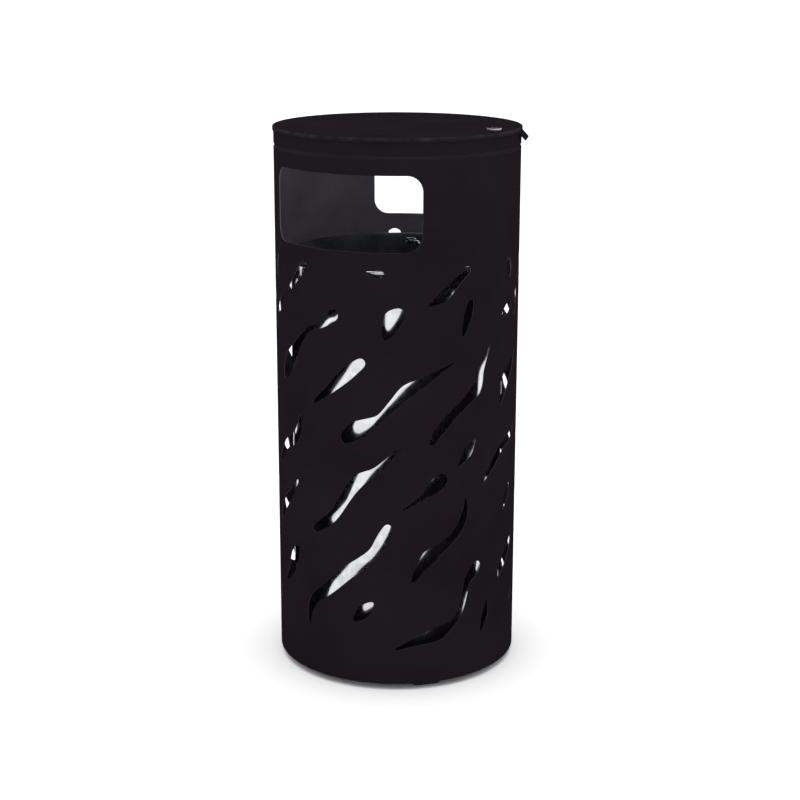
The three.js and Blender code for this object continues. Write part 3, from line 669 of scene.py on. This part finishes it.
def perforated_drum(outlines, spacing=9.0, edge_steps=2):
    """The rolled sheet with its openings: points, faces, normals and an edge mask."""
    radius = DRUM_RADIUS
    curves = [with_directions(outline) for outline in outlines]
    rim_steps = round(TURN * radius / spacing)
    rim_arcs = np.arange(rim_steps) * TURN * radius / rim_steps
    for height, way in ((drum_low.z, 1), (drum_high.z, -1)):
        rim = np.stack([rim_arcs, np.full(rim_steps, height)], axis=1)
        curves.append((rim, np.tile([0.0, way], (rim_steps, 1))))
    loops = []
    start = 0
    for outline, _ in curves:
        loops.append(list(range(start, start + len(outline))))
        start += len(outline)
    sheet = sheet_points(curves, rim_arcs, spacing)
    triangles, origins = sheet_triangles(sheet, loops)
    new_index = {old: new for new, olds in enumerate(origins) for old in olds}

    points = []
    normals = []
    mask = []

    def add_point(arc, height, at_radius, radial, sideways, inward, on_edge):
        angle = arc / radius
        out = around(1, angle, 0)
        way = around(1, angle + math.pi / 2, 0) * inward[0] + Z_AXIS * inward[1]
        points.append(around(at_radius, angle, height))
        normals.append(out * radial - way * sideways)
        mask.append(on_edge)
        return len(points) - 1

    used = sorted({i for face in triangles for i in face})
    layers = []
    for at_radius, radial in ((radius, 1), (radius - DRUM_WALL, -1)):
        layers.append({i: add_point(*sheet[origins[i][0]], at_radius, radial, 0, (0, 0), 0.0) for i in used})
    faces = [tuple(layers[0][i] for i in face) for face in triangles]
    faces += [tuple(layers[1][i] for i in reversed(face)) for face in triangles]

    # Across the sheet's thickness each edge is rounded on both sides.
    quarter = [math.pi / 2 * step / edge_steps for step in range(1, edge_steps + 1)]
    for loop, (outline, inward) in zip(loops, curves):
        rows = [[layers[0][new_index[i]] for i in loop]]
        for side, angles in ((1, quarter), (-1, quarter[::-1])):
            for angle in angles:
                depth = EDGE * (1 - math.cos(angle))
                at_radius = radius - depth if side > 0 else radius - DRUM_WALL + depth
                shifted = outline + inward * EDGE * (1 - math.sin(angle))
                rows.append([
                    add_point(*place, at_radius, side * math.cos(angle), math.sin(angle), way, 1.0)
                    for place, way in zip(shifted, inward)])
        rows.append([layers[1][new_index[i]] for i in loop])
        count = len(loop)
        for here, there in zip(rows, rows[1:]):
            for i in range(count):
                j = (i + 1) % count
                faces.append((here[i], here[j], there[j], there[i]))
    return points, faces, normals, mask


def inside_of(points, limit_at):
    """1 for each point nearer to the bin's axis than the limit at its height, otherwise 0."""
    return [float(math.hypot(point[0], point[1]) < limit_at(point[2])) for point in points]


def painted_light_inside(points):
    """How much painted light the drum gets: none outside, a little beside the liner and most round the
    windows.
    """
    LOW = 600
    HIGH = 670
    LEAST = 0.4
    dust_and_painted_light = []
    for inside, point in zip(inside_of(points, lambda height: DRUM_RADIUS - DRUM_WALL / 2), points):
        rise = min(max((point[2] - LOW) / (HIGH - LOW), 0), 1)
        dust_and_painted_light.append(inside * (LEAST + (1 - LEAST) * rise))
    return dust_and_painted_light


def drum():
    points, faces, normals, edge = perforated_drum(drum_outlines())
    working = facing_out((points, faces))
    _, faces = mesh_shell(working)
    bpy.data.meshes.remove(working)
    make_object("drum_shell", (points, faces), "bin_body", POWDER_COAT, ["body_drum"],
                normals=normals, marks={"edge": edge, "inside": painted_light_inside(points)})


# ------------------------------ shapes used by pieces
FOOT_ANGLES = [45, 135, 225, 315]


def at_angle(degrees):
    """A turn about the bin's axis that takes the front to this angle."""
    return Matrix.Rotation(math.radians(degrees), 4, "Z")


def moved(x, y, z):
    return Matrix.Translation((x, y, z))


# Takes +Z to the front of the bin, +X stays where it is.
TO_FRONT = Matrix.Rotation(math.pi / 2, 4, "X")


def rod(radius, low, high, steps=48, edge=0.0):
    """A round bar up the Z axis."""
    corners = [(0, low), ((radius, low), edge), ((radius, high), edge), (0, high)]
    return lathe(fillet(corners, 0, closed=False), steps)


def prism(outline, low, high):
    return loft([[Vector((p.x, p.y, z)) for p in outline] for z in (low, high)])


def block(low, high):
    """A box between two corners."""
    outline = [Vector((x, y, 0)) for x, y in ((low[0], low[1]), (high[0], low[1]), (high[0], high[1]),
                                              (low[0], high[1]))]
    return prism(outline, low[2], high[2])


def domed(radius, height, seat, way=1, steps=7):
    """Profile points over a dome from its rim on the seat to its crown on the axis."""
    sphere = (radius * radius + height * height) / (2 * height)
    widest = math.asin(min(1.0, radius / sphere))
    points = []
    for step in range(steps + 1):
        angle = widest * (1 - step / steps)
        points.append((sphere * math.sin(angle), seat + way * (height - sphere * (1 - math.cos(angle)))))
    points[-1] = (0, seat + way * height)
    return points


def threaded(radius, low, high, pitch, depth):
    """Profile points up a thread, as rings."""
    points = []
    turns = int((high - low) / pitch)
    for turn in range(turns):
        start = low + turn * pitch
        points += [(radius - depth, start), (radius, start + pitch * 0.4), (radius, start + pitch * 0.6)]
    points.append((radius - depth, low + turns * pitch))
    return points


def hex_nut(across, low, high, hole):
    """A nut with its corners turned off and its hole countersunk."""
    CHAMFER = 0.05
    point = across / math.sqrt(3)
    drop = (point - across / 2) * 0.6
    sink = across * CHAMFER
    turned = lathe([
        (hole, low + sink), (hole + sink, low), (across / 2, low), (point + 0.01, low + drop),
        (point + 0.01, high - drop), (across / 2, high), (hole + sink, high), (hole, high - sink),
    ], 72)
    return combined(turned, prism(hexagon(across), low - 1, high + 1), "INTERSECT")


# A rivet's shank and head radius, and its head's height.
RIVET = (1.9, 2.8, 1.3)


def rivet_shell(inside, outside, shank, head, head_height):
    """A rivet up the Z axis with a dome at both ends, gripping from one height to the other."""
    profile = domed(head, head_height, inside, -1)[::-1]
    profile += [(shank, inside), (shank, outside)]
    profile += domed(head, head_height, outside)
    return lathe(profile, 36)


# ------------------------------ collar, pan, feet
def hoop(node, steps):
    """A rolled strip of sheet with rounded edges, as high and wide as its CAD node."""
    WALL = 1.5
    low, high = low_high(node)
    section = [(high.x - WALL, low.z), (high.x, low.z), (high.x, high.z), (high.x - WALL, high.z)]
    return lathe(fillet(section, 0.6, steps=3), steps)


def collar():
    # The whole collar gets a weak inside mark, which lightens it a little towards grey: painted light.
    PAINTED_LIGHT = 0.05
    shell = hoop("top_collar", 200)
    make_object("collar", shell, "bin_body", POWDER_COAT, ["top_collar"],
                marks={"inside": [PAINTED_LIGHT] * len(shell[0])})


FOOT_CIRCLE = 155.0
BOLT_SHANK = 3.9
HOLE_GAP = 0.3


def pan():
    """The dished base plate: a raised boss with the anchor hole, four foot holes and four drains."""
    PAN_SHEET = 3.0
    PAN_BOSS = 45.0
    ANCHOR_HOLE = 7.0
    DRAIN_HOLE = 9.0
    DRAIN_CIRCLE = 90.0
    FLANGE_SHEET = 2.0
    BOSS_RISE = 3.5
    low, high = low_high("base_pan")
    floor = low.z + PAN_SHEET
    section = [
        ((ANCHOR_HOLE, low.z), 0.4), ((high.x, low.z), 3.0), ((high.x, high.z), 0.8),
        ((high.x - FLANGE_SHEET, high.z), 0.8), ((high.x - FLANGE_SHEET, floor), 2.0),
        ((PAN_BOSS, floor), 1.2), ((PAN_BOSS, floor + BOSS_RISE), 0.8),
        ((ANCHOR_HOLE, floor + BOSS_RISE), 0.4),
    ]
    shell = lathe(fillet(section, 0, steps=4), 200)
    holes = []
    for angle in FOOT_ANGLES:
        for radius, distance in ((BOLT_SHANK + HOLE_GAP, FOOT_CIRCLE), (DRAIN_HOLE, DRAIN_CIRCLE)):
            hole = rod(radius, low.z - PAST, floor + PAST, 40)
            holes.append(placed(hole, at_angle(angle) @ moved(0, -distance, 0)))
    shell = combined(shell, joined(*holes))
    make_object("pan", shell, "bin_body", POWDER_COAT, ["base_pan"], bevel=0.3)


def foot(number, angle):
    """A rubber pad with the bolt and nut that hold it under the pan."""
    POCKET = 8.5
    POCKET_DEPTH = 7.5
    NUT_ACROSS = 13.0
    NUT_HEIGHT = 5.5
    SOCKET = 4.0
    SOCKET_DEPTH = 2.4
    place = at_angle(angle) @ moved(0, -FOOT_CIRCLE, 0)
    low, high = low_high(f"foot_pad_{number}")
    half = 21.0
    # Half a groove's width, and its depth.
    GROOVE = 0.9
    pad = slab(rounded_box(half, half, 4.0), low.z, high.z, edge=1.2)
    pad = combined(pad, rod(BOLT_SHANK + HOLE_GAP, -PAST, high.z + PAST))
    pad = combined(pad, rod(POCKET, -PAST, POCKET_DEPTH))
    grooves = [block((-half - PAST, y - GROOVE, -PAST), (half + PAST, y + GROOVE, GROOVE))
               for y in (-14.5, -10.5, 10.5, 14.5)]
    shell = placed(combined(pad, joined(*grooves)), place)
    make_object(f"pad_{number}", shell, "bin_body", RUBBER, [f"foot_pad_{number}"])

    low, high = low_high(f"foot_bolt_{number}")
    HEAD = 6.5
    HEAD_HEIGHT = 4.0
    seat = high.z - HEAD_HEIGHT
    profile = [(0, low.z), (BOLT_SHANK - 0.9, low.z)]
    profile += threaded(BOLT_SHANK, low.z + 0.5, seat - 3, 1.25, 0.5)
    profile += [(BOLT_SHANK, seat), (HEAD - 0.3, seat), (HEAD, seat + 0.4)]
    profile += domed(HEAD, HEAD_HEIGHT - 0.9, seat + 0.9)
    bolt = combined(lathe(profile, 48), prism(hexagon(SOCKET), high.z - SOCKET_DEPTH, high.z + PAST))
    shell = placed(bolt, place)
    make_object(f"bolt_{number}", shell, "bin_body", ZINC, [f"foot_bolt_{number}"])

    low, high = low_high(f"foot_nut_{number}")
    shell = placed(hex_nut(NUT_ACROSS, low.z, low.z + NUT_HEIGHT, BOLT_SHANK + HOLE_GAP), place)
    make_object(f"nut_{number}", shell, "bin_body", ZINC, [f"foot_nut_{number}"])


# ------------------------------ lid
LOCK_X = 165.0
LOCK_BARREL = 9.0


def cap():
    """The pressed cap: a flat top with a shallow groove just inside its rim, and a folded edge."""
    low, high = low_high("lid_cap")
    SHEET = 1.2
    EDGE_HIGHLIGHT = 6.0
    EDGE_BAND = 1.4
    GROOVE = {"inner": 183.6, "outer": 187.4, "depth": 0.7}
    rim = high.x
    groove_floor = high.z - GROOVE["depth"]
    under = high.z - 1.5
    section = [
        (0, high.z), ((GROOVE["inner"], high.z), 0.8), ((GROOVE["inner"] + 0.9, groove_floor), 0.8),
        ((GROOVE["outer"] - 0.9, groove_floor), 0.8), ((GROOVE["outer"], high.z), 0.8),
        ((rim, high.z), 1.3), ((rim, low.z), 0.45), ((rim - SHEET, low.z), 0.45), ((rim - SHEET, under), 0.6),
        (0, under),
    ]
    shell = lathe(fillet(section, 0, closed=False, steps=4), 240)
    hole = placed(rod(LOCK_BARREL + HOLE_GAP, under - PAST, high.z + PAST), moved(LOCK_X, 0, 0))
    shell = combined(shell, hole)
    # The rim's rounded top edge gets a strong edge mark, which the powder coat turns into a painted
    # highlight.
    on_edge = [math.hypot(point[0], point[1]) > rim - EDGE_BAND and point[2] > high.z - EDGE_BAND
               for point in shell[0]]
    edge = [EDGE_HIGHLIGHT * is_edge for is_edge in on_edge]
    make_object("cap", shell, "lid", POWDER_COAT, ["lid_cap"], marks={"edge": edge})


def skirt():
    make_object("skirt", hoop("lid_skirt", 240), "lid", POWDER_COAT, ["lid_skirt"])


def tab():
    """The lifting tab, bent down and out from the skirt, with its weld."""
    ANGLE = 111
    DROOP = math.radians(47)
    LENGTH = 14.2
    THICKNESS = 2.5
    HALF_WIDTH = 26.0
    START = Vector((190.3, 0, 845.1))
    ROOT = 0.8
    CORNER = 3.0
    outline = fillet([
        ((-ROOT, -HALF_WIDTH, 0), 0), ((LENGTH, -HALF_WIDTH, 0), CORNER), ((LENGTH, HALF_WIDTH, 0), CORNER),
        ((-ROOT, HALF_WIDTH, 0), 0),
    ], 0, steps=6)
    plate = slab(outline, -THICKNESS, 0, edge=0.6)
    tilt = Matrix.Translation(START) @ Matrix.Rotation(DROOP, 4, "Y")
    turn = at_angle(ANGLE - 90)
    shell = placed(plate, turn @ tilt)
    make_object("tab", shell, "lid", POWDER_COAT, ["lid_tab"])
    WELD = 1.3
    WELD_STEPS = 60
    drop = THICKNESS / math.cos(DROOP)
    path = []
    for step in range(WELD_STEPS + 1):
        y = (HALF_WIDTH - 1) * (2 * step / WELD_STEPS - 1)
        ripple = 0.15 * math.sin(step * 2.2)
        path.append(Vector((math.sqrt(START.x ** 2 - y * y) + ripple, y, START.z - drop)))
    shell = placed(tube(path, WELD, 12), turn)
    make_object("tab_weld", shell, "lid", POWDER_COAT)


# ------------------------------ hinge
HINGE = Vector((-192.5, 0, 823.5))
KNUCKLE = 3.3
KNUCKLE_END = 27.0
KNUCKLE_SPLIT = 10.0
LEAF_HALF_WIDTH = 30.0
LEAF_OUTER = 191.8
RIVET_ANGLE = 5.4

# Takes the Z axis to the hinge's line, along Y.
ON_HINGE = Matrix.Translation(HINGE) @ Matrix.Rotation(-math.pi / 2, 4, "X")


def hinge_rod(radius, start, end):
    return placed(rod(radius, start, end, 40), ON_HINGE)


def leaf_blank(low_z, high_z, low_corner, high_corner):
    """A curved plate with rounded corners behind the drum."""
    INNER = 190.3
    corners = [(INNER, low_z), (LEAF_OUTER, low_z), (LEAF_OUTER, high_z), (INNER, high_z)]
    section = fillet(corners, 0.2, steps=2)
    STEPS = 24
    SPREAD = math.radians(12)
    loops = []
    for step in range(STEPS + 1):
        angle = math.radians(270) + SPREAD * (2 * step / STEPS - 1)
        loops.append([around(radius, angle, height) for radius, height in section])
    corners = [
        ((-LEAF_HALF_WIDTH, low_z, 0), low_corner), ((LEAF_HALF_WIDTH, low_z, 0), low_corner),
        ((LEAF_HALF_WIDTH, high_z, 0), high_corner), ((-LEAF_HALF_WIDTH, high_z, 0), high_corner),
    ]
    face = fillet(corners, 0, steps=6)
    stamp = placed(prism(face, 150, 210), Matrix(((0, 0, -1, 0), (1, 0, 0, 0), (0, 1, 0, 0), (0, 0, 0, 1))))
    return combined(loft(loops), stamp, "INTERSECT")


def notch(start, end):
    REACH = 4.0
    return block((-210, start, HINGE.z - REACH), (-150, end, HINGE.z + REACH))


def hinge():
    BORE = 2.1
    CORNER = 5.0
    END = 50.0
    body_low, _ = low_high("hinge_body_leaf")
    leaf = leaf_blank(body_low.z, HINGE.z, CORNER, 0)
    leaf = combined(leaf, notch(-KNUCKLE_SPLIT, KNUCKLE_SPLIT))
    for start, end in ((-KNUCKLE_END, -KNUCKLE_SPLIT), (KNUCKLE_SPLIT, KNUCKLE_END)):
        leaf = combined(leaf, hinge_rod(KNUCKLE, start, end), "UNION")
    shell = combined(leaf, hinge_rod(BORE, -END, END))
    make_object("hinge_leaf_fixed", shell, "bin_body", POWDER_COAT, ["hinge_body_leaf"], bevel=0.2)

    _, lid_high = low_high("hinge_lid_leaf")
    split = KNUCKLE_SPLIT - HOLE_GAP
    leaf = leaf_blank(HINGE.z, lid_high.z, 0, CORNER)
    leaf = combined(leaf, notch(-END, -split))
    leaf = combined(leaf, notch(split, END))
    leaf = combined(leaf, hinge_rod(KNUCKLE, -split, split), "UNION")
    shell = combined(leaf, hinge_rod(BORE, -END, END))
    make_object("hinge_leaf_moving", shell, "lid", POWDER_COAT, ["hinge_lid_leaf"], bevel=0.2)

    PIN = 1.8
    PIN_HEAD = 2.5
    HEAD_HEIGHT = 1.5
    grip = KNUCKLE_END + HOLE_GAP
    shell = placed(rivet_shell(-grip, grip, PIN, PIN_HEAD, HEAD_HEIGHT), ON_HINGE)
    make_object("hinge_pin_bar", shell, "bin_body", STAINLESS, ["hinge_pin"])

    # A rivet's inner head lies against the collar or the skirt.
    for kind, body, height, inside in (("body", "bin_body", 808, 185.3), ("lid", "lid", 841.5, 187.4)):
        for number, side in ((1, -1), (2, 1)):
            place = at_angle(270 + side * RIVET_ANGLE) @ moved(0, 0, height) @ TO_FRONT
            shell = placed(rivet_shell(inside, LEAF_OUTER + HOLE_GAP, *RIVET), place)
            make_object(f"rivet_{kind}_{number}", shell, body, STAINLESS, [f"hinge_{kind}_rivet_{number}"])


# ------------------------------ lock
LOCK_CORE = 6.3
LOCK_TAPPED = 2.6


def lock_piece(name, shell, *details, **options):
    """A finished piece from a shell that was made on the Z axis."""
    make_object(name, placed(shell, moved(LOCK_X, 0, 0)), *details, **options)


def lock_body():
    """The housing, its dark trim ring, and the nut that holds it under the cap."""
    BEZEL = 11.0
    TRIM_OUTER = 10.7
    TRIM_SHEET = 0.6
    NUT_ACROSS = 24.0
    low, high = low_high("lock_housing")
    seat = low_high("lid_cap")[1].z + HOLE_GAP
    gap = LOCK_CORE + HOLE_GAP
    ledge = high.z - TRIM_SHEET
    rim = TRIM_OUTER + 0.1
    section = [
        ((gap, low.z), 0.3), ((LOCK_BARREL, low.z), 0.6), ((LOCK_BARREL, seat), 0), ((BEZEL, seat), 0.3),
        ((BEZEL, high.z), 0.5), ((rim, high.z), 0.1), ((rim, ledge), 0), ((gap, ledge), 0.1),
    ]
    lock_piece("lock_body", lathe(fillet(section, 0, steps=4), 96), "lid", STAINLESS, ["lock_housing"])
    section = [(gap, ledge), (TRIM_OUTER, ledge), (TRIM_OUTER, high.z), (gap, high.z)]
    lock_piece("lock_trim", lathe(fillet(section, 0.2, steps=3), 96), "lid", POWDER_COAT)

    low, high = low_high("lock_nut")
    nut = hex_nut(NUT_ACROSS, low.z, high.z, LOCK_BARREL + HOLE_GAP)
    lock_piece("lock_ring_nut", nut, "lid", ZINC, ["lock_nut"])


def lock_plug():
    """The core, with a square key socket above and a tapped hole for the cam's screw below."""
    SOCKET_HALF = 3.5
    SOCKET_DEPTH = 8.0
    TAP_DEPTH = 9.0
    low, high = low_high("lock_core")
    socket = block((-SOCKET_HALF, -SOCKET_HALF, high.z - SOCKET_DEPTH),
                   (SOCKET_HALF, SOCKET_HALF, high.z + PAST))
    plug = combined(rod(LOCK_CORE, low.z, high.z, 64, 0.4), socket)
    plug = combined(plug, rod(LOCK_TAPPED, low.z - PAST, low.z + TAP_DEPTH))
    lock_piece("lock_plug", plug, "lock", BLACKENED, ["lock_core"], bevel=0.25)


def lock_arm():
    """The cam that turns under the strike."""
    CAM_HALF = 6.0
    CAM_REACH = 17.0
    low, high = low_high("lock_cam")
    END_STEPS = 16
    end_angles = [math.pi * step / END_STEPS for step in range(END_STEPS + 1)]
    end = [Vector((CAM_HALF * math.cos(angle), CAM_HALF * math.sin(angle), 0)) for angle in end_angles]
    corners = fillet([((-CAM_HALF, 0, 0), 0), ((-CAM_HALF, -CAM_REACH, 0), 3), ((CAM_HALF, -CAM_REACH, 0), 3),
                      ((CAM_HALF, 0, 0), 0)], 0, closed=False, steps=5)
    arm = slab(end + corners[1:-1], low.z, high.z)
    arm = combined(arm, rod(LOCK_TAPPED, low.z - PAST, high.z + PAST))
    lock_piece("lock_arm", arm, "lock", ZINC, ["lock_cam"])


def lock_screw():
    HEAD = 4.5
    HEAD_HEIGHT = 3.0
    SHANK = 2.3
    DRIVE = 3.0
    DRIVE_DEPTH = 1.6
    low, high = low_high("lock_cam_screw")
    head_top = low.z + HEAD_HEIGHT
    profile = domed(HEAD, HEAD_HEIGHT - 0.8, head_top - 0.8, -1)[::-1]
    profile += [(HEAD, head_top - 0.2), (HEAD - 0.2, head_top), (SHANK, head_top)]
    profile += threaded(SHANK, head_top + 0.5, high.z - 1, 0.8, 0.3)
    profile += [(SHANK - 0.6, high.z), (0, high.z)]
    screw = combined(lathe(profile, 40), prism(hexagon(DRIVE), low.z - PAST, low.z + DRIVE_DEPTH))
    lock_piece("lock_screw", screw, "lock", ZINC, ["lock_cam_screw"])


def strike():
    """An angle of sheet inside the collar, with a rounded bend."""
    SHEET = 1.8
    low, high = low_high("lock_strike")
    section = fillet([
        ((low.x, high.z - SHEET, 0), 0.3), ((high.x - SHEET, high.z - SHEET, 0), 1.0),
        ((high.x - SHEET, low.z, 0), 0.3), ((high.x, low.z, 0), 0.3), ((high.x, high.z, 0), 2.8),
        ((low.x, high.z, 0), 0.3),
    ], 0, steps=5)
    loops = [[Vector((p.x, y, p.y)) for p in section] for y in (low.y, high.y)]
    shell = loft(loops)
    make_object("strike", shell, "bin_body", POWDER_COAT, ["lock_strike"], bevel=0.25)


# ------------------------------ liner
LINER_WALL = 1.2
AXIS_HEIGHT = 645.0
AXIS_REACH = 146.0
EAR_ANGLE = 21


def liner_shell():
    """The liner's wall, which rolls over its wire at the top."""
    low, wall_high = low_high("liner_wall")
    bead_low, bead_high = low_high("liner_rim_bead")
    radius = wall_high.x
    wire = (bead_high.z - bead_low.z) / 2 / math.cos(math.pi / 6)
    centre = (bead_high.x - wire, (bead_high.z + bead_low.z) / 2)
    inner = radius - LINER_WALL
    ROLL_STEPS = 18
    BEFORE_ROLL = 2.5
    AFTER_ROLL = 4.6
    section = [(inner, low.z), (inner, centre[1] - BEFORE_ROLL)]
    start = math.radians(170)
    sweep = math.radians(330)
    for step in range(ROLL_STEPS + 1):
        angle = start - sweep * step / ROLL_STEPS
        section.append((centre[0] + wire * math.cos(angle), centre[1] + wire * math.sin(angle)))
    section += [(radius, centre[1] - AFTER_ROLL), (radius, low.z)]
    shell = lathe(section, 220)
    # The inner face and the inner half of the rolled rim get the inside mark, which darkens them as painted
    # shade, so that only the rim's top and outer side stay bright.
    inside = inside_of(shell[0], lambda height: centre[0] - 1 if height > centre[1] - 1 else inner + 0.4)
    make_object("liner_shell", shell, "liner", GALVANISED, ["liner_wall", "liner_rim_bead"], sharp=50,
                marks={"inside": inside})


def liner_floor():
    low, high = low_high("liner_bottom")
    SHEET = 1.5
    section = [
        (0, high.z - SHEET), ((high.x - SHEET, high.z - SHEET), 1.0), ((high.x - SHEET, low.z), 0.4),
        ((high.x, low.z), 0.4), ((high.x, high.z), 2.5), (0, high.z),
    ]
    shell = lathe(fillet(section, 0, closed=False, steps=4), 200)
    # The whole floor gets the inside mark: darkened as painted shade and grime.
    make_object("liner_floor", shell, "liner", GALVANISED, ["liner_bottom"],
                marks={"inside": [1.0] * len(shell[0])})


def liner_seam():
    """The lapped seam up the wall."""
    ANGLE = 247
    HALF_WIDTH = 4.0
    SUNK = -0.2
    PROUD = 0.9
    END_GAP = 2
    bottom = low_high("liner_bottom")[0].z + END_GAP
    top = low_high("liner_rim_bead")[0].z - END_GAP
    radius = low_high("liner_wall")[1].x
    corners = [(-HALF_WIDTH, SUNK, 0), (HALF_WIDTH, SUNK, 0), (HALF_WIDTH, PROUD, 0), (-HALF_WIDTH, PROUD, 0)]
    section = fillet(corners, 0.5)
    loops = [[Vector((p.x, -radius - p.y, z)) for p in section] for z in (bottom, top)]
    make_object("liner_seam", placed(loft(loops), at_angle(ANGLE)), "liner", GALVANISED)


def ear(place_name, middle, side):
    """A bracket that carries one end of a handle, and its rivet."""
    PLATE = {"half_width": 9.0, "half_height": 4.5, "sheet": 1.7}
    LUG = {"reach": 15.0, "half_height": 5.5}
    PIVOT_HOLE = 2.8
    REACH = 80
    liner_radius = low_high("liner_wall")[1].x
    FACET_DIP = math.cos(math.pi / 40)
    seat = (liner_radius - LINER_WALL) * FACET_DIP - 0.4
    turn = at_angle(middle + side * EAR_ANGLE)

    upright = moved(0, -seat + PLATE["sheet"], AXIS_HEIGHT) @ TO_FRONT
    flat = slab(rounded_box(PLATE["half_width"], PLATE["half_height"], 2.0), 0, PLATE["sheet"])
    flat = placed(flat, upright)
    half = LUG["half_height"]
    reach = LUG["reach"]
    outline = [((0, -half, 0), 0.5), ((reach, -half, 0), half * 0.9), ((reach, half, 0), half * 0.9),
               ((0, half, 0), 0.5)]
    lug = slab(fillet(outline, 0, steps=8), 0, PLATE["sheet"])
    inner_edge = -side * PLATE["half_width"]
    low_x = min(inner_edge, inner_edge + side * PLATE["sheet"])
    stand = Matrix(((0, 0, 1, low_x), (1, 0, 0, -seat), (0, 1, 0, AXIS_HEIGHT), (0, 0, 0, 1)))
    lug = placed(lug, stand)
    bracket = combined(flat, lug, "UNION")
    pivot = at_angle(middle) @ moved(0, -AXIS_REACH, AXIS_HEIGHT) @ Matrix.Rotation(math.pi / 2, 4, "Y")
    shell = combined(placed(bracket, turn), placed(rod(PIVOT_HOLE, -REACH, REACH), pivot))
    make_object(f"ear_{place_name}", shell, "liner", GALVANISED, [f"liner_ear_{place_name}"])

    shell = rivet_shell(seat - PLATE["sheet"] - HOLE_GAP, liner_radius + HOLE_GAP, *RIVET)
    shell = placed(shell, turn @ moved(0, 0, AXIS_HEIGHT) @ TO_FRONT)
    make_object(f"ear_rivet_{place_name}", shell, "liner", STAINLESS, [f"liner_ear_rivet_{place_name}"])


def handle(place_name, middle, body):
    """A wire handle: a wide U whose ends turn out through its ears."""
    WIRE = 2.5
    HALF_WIDTH = 40.0
    DROP = 40.0
    STUB = 51.5
    CORNER = 12.0
    BEND = 4.5
    path = fillet([
        ((-STUB, 0, 0), 0), ((-HALF_WIDTH, 0, 0), BEND), ((-HALF_WIDTH, 0, -DROP), CORNER),
        ((HALF_WIDTH, 0, -DROP), CORNER), ((HALF_WIDTH, 0, 0), BEND), ((STUB, 0, 0), 0),
    ], 0, closed=False, steps=9)
    shell = placed(tube(path, WIRE, 24), at_angle(middle) @ moved(0, -AXIS_REACH, AXIS_HEIGHT))
    make_object(f"handle_{place_name}", shell, body, GALVANISED, [f"liner_handle_{place_name}"])


drum()
collar()
pan()
for foot_number, foot_angle in enumerate(FOOT_ANGLES, 1):
    foot(foot_number, foot_angle)
cap()
skirt()
tab()
hinge()
lock_body()
lock_plug()
lock_arm()
lock_screw()
strike()
liner_shell()
liner_floor()
liner_seam()
for ear_place, ear_middle, ear_side in (("front_left", 0, -1), ("front_right", 0, 1), ("rear_right", 180, -1),
                                        ("rear_left", 180, 1)):
    ear(ear_place, ear_middle, ear_side)
handle("front", 0, "handle_front")
handle("rear", 180, "handle_rear")


# ------------------------------ floor and light
def make_stage():
    floor_mesh = bpy.data.meshes.new("floor")
    FLOOR_HALF = 60.0
    corners = [(-FLOOR_HALF, -FLOOR_HALF, 0), (FLOOR_HALF, -FLOOR_HALF, 0), (FLOOR_HALF, FLOOR_HALF, 0),
               (-FLOOR_HALF, FLOOR_HALF, 0)]
    floor_mesh.from_pydata(corners, [], [(0, 1, 2, 3)])
    floor = bpy.data.objects.new("floor", floor_mesh)
    bpy.context.scene.collection.objects.link(floor)
    shader = Shader("floor", Base_Color=(0.97, 0.97, 0.97, 1), Roughness=0.9, Specular_IOR_Level=0.1)
    floor_mesh.materials.append(shader.material)


def make_sky_light():
    """A wide soft light from straight above, which makes the floor white and leaves the drum's sides dark."""
    data = bpy.data.lights.new("overhead", "SUN")
    data.energy = 1.4
    data.angle = math.radians(60)
    light = bpy.data.objects.new("overhead", data)
    bpy.context.scene.collection.objects.link(light)


make_stage()
make_sky_light()

world = bpy.data.worlds.new("world")
world.use_nodes = True
world.node_tree.nodes["Background"].inputs["Color"].default_value = (1, 1, 1, 1)
world.node_tree.nodes["Background"].inputs["Strength"].default_value = 0.95
bpy.context.scene.world = world
bpy.context.scene.view_settings.view_transform = "Standard"
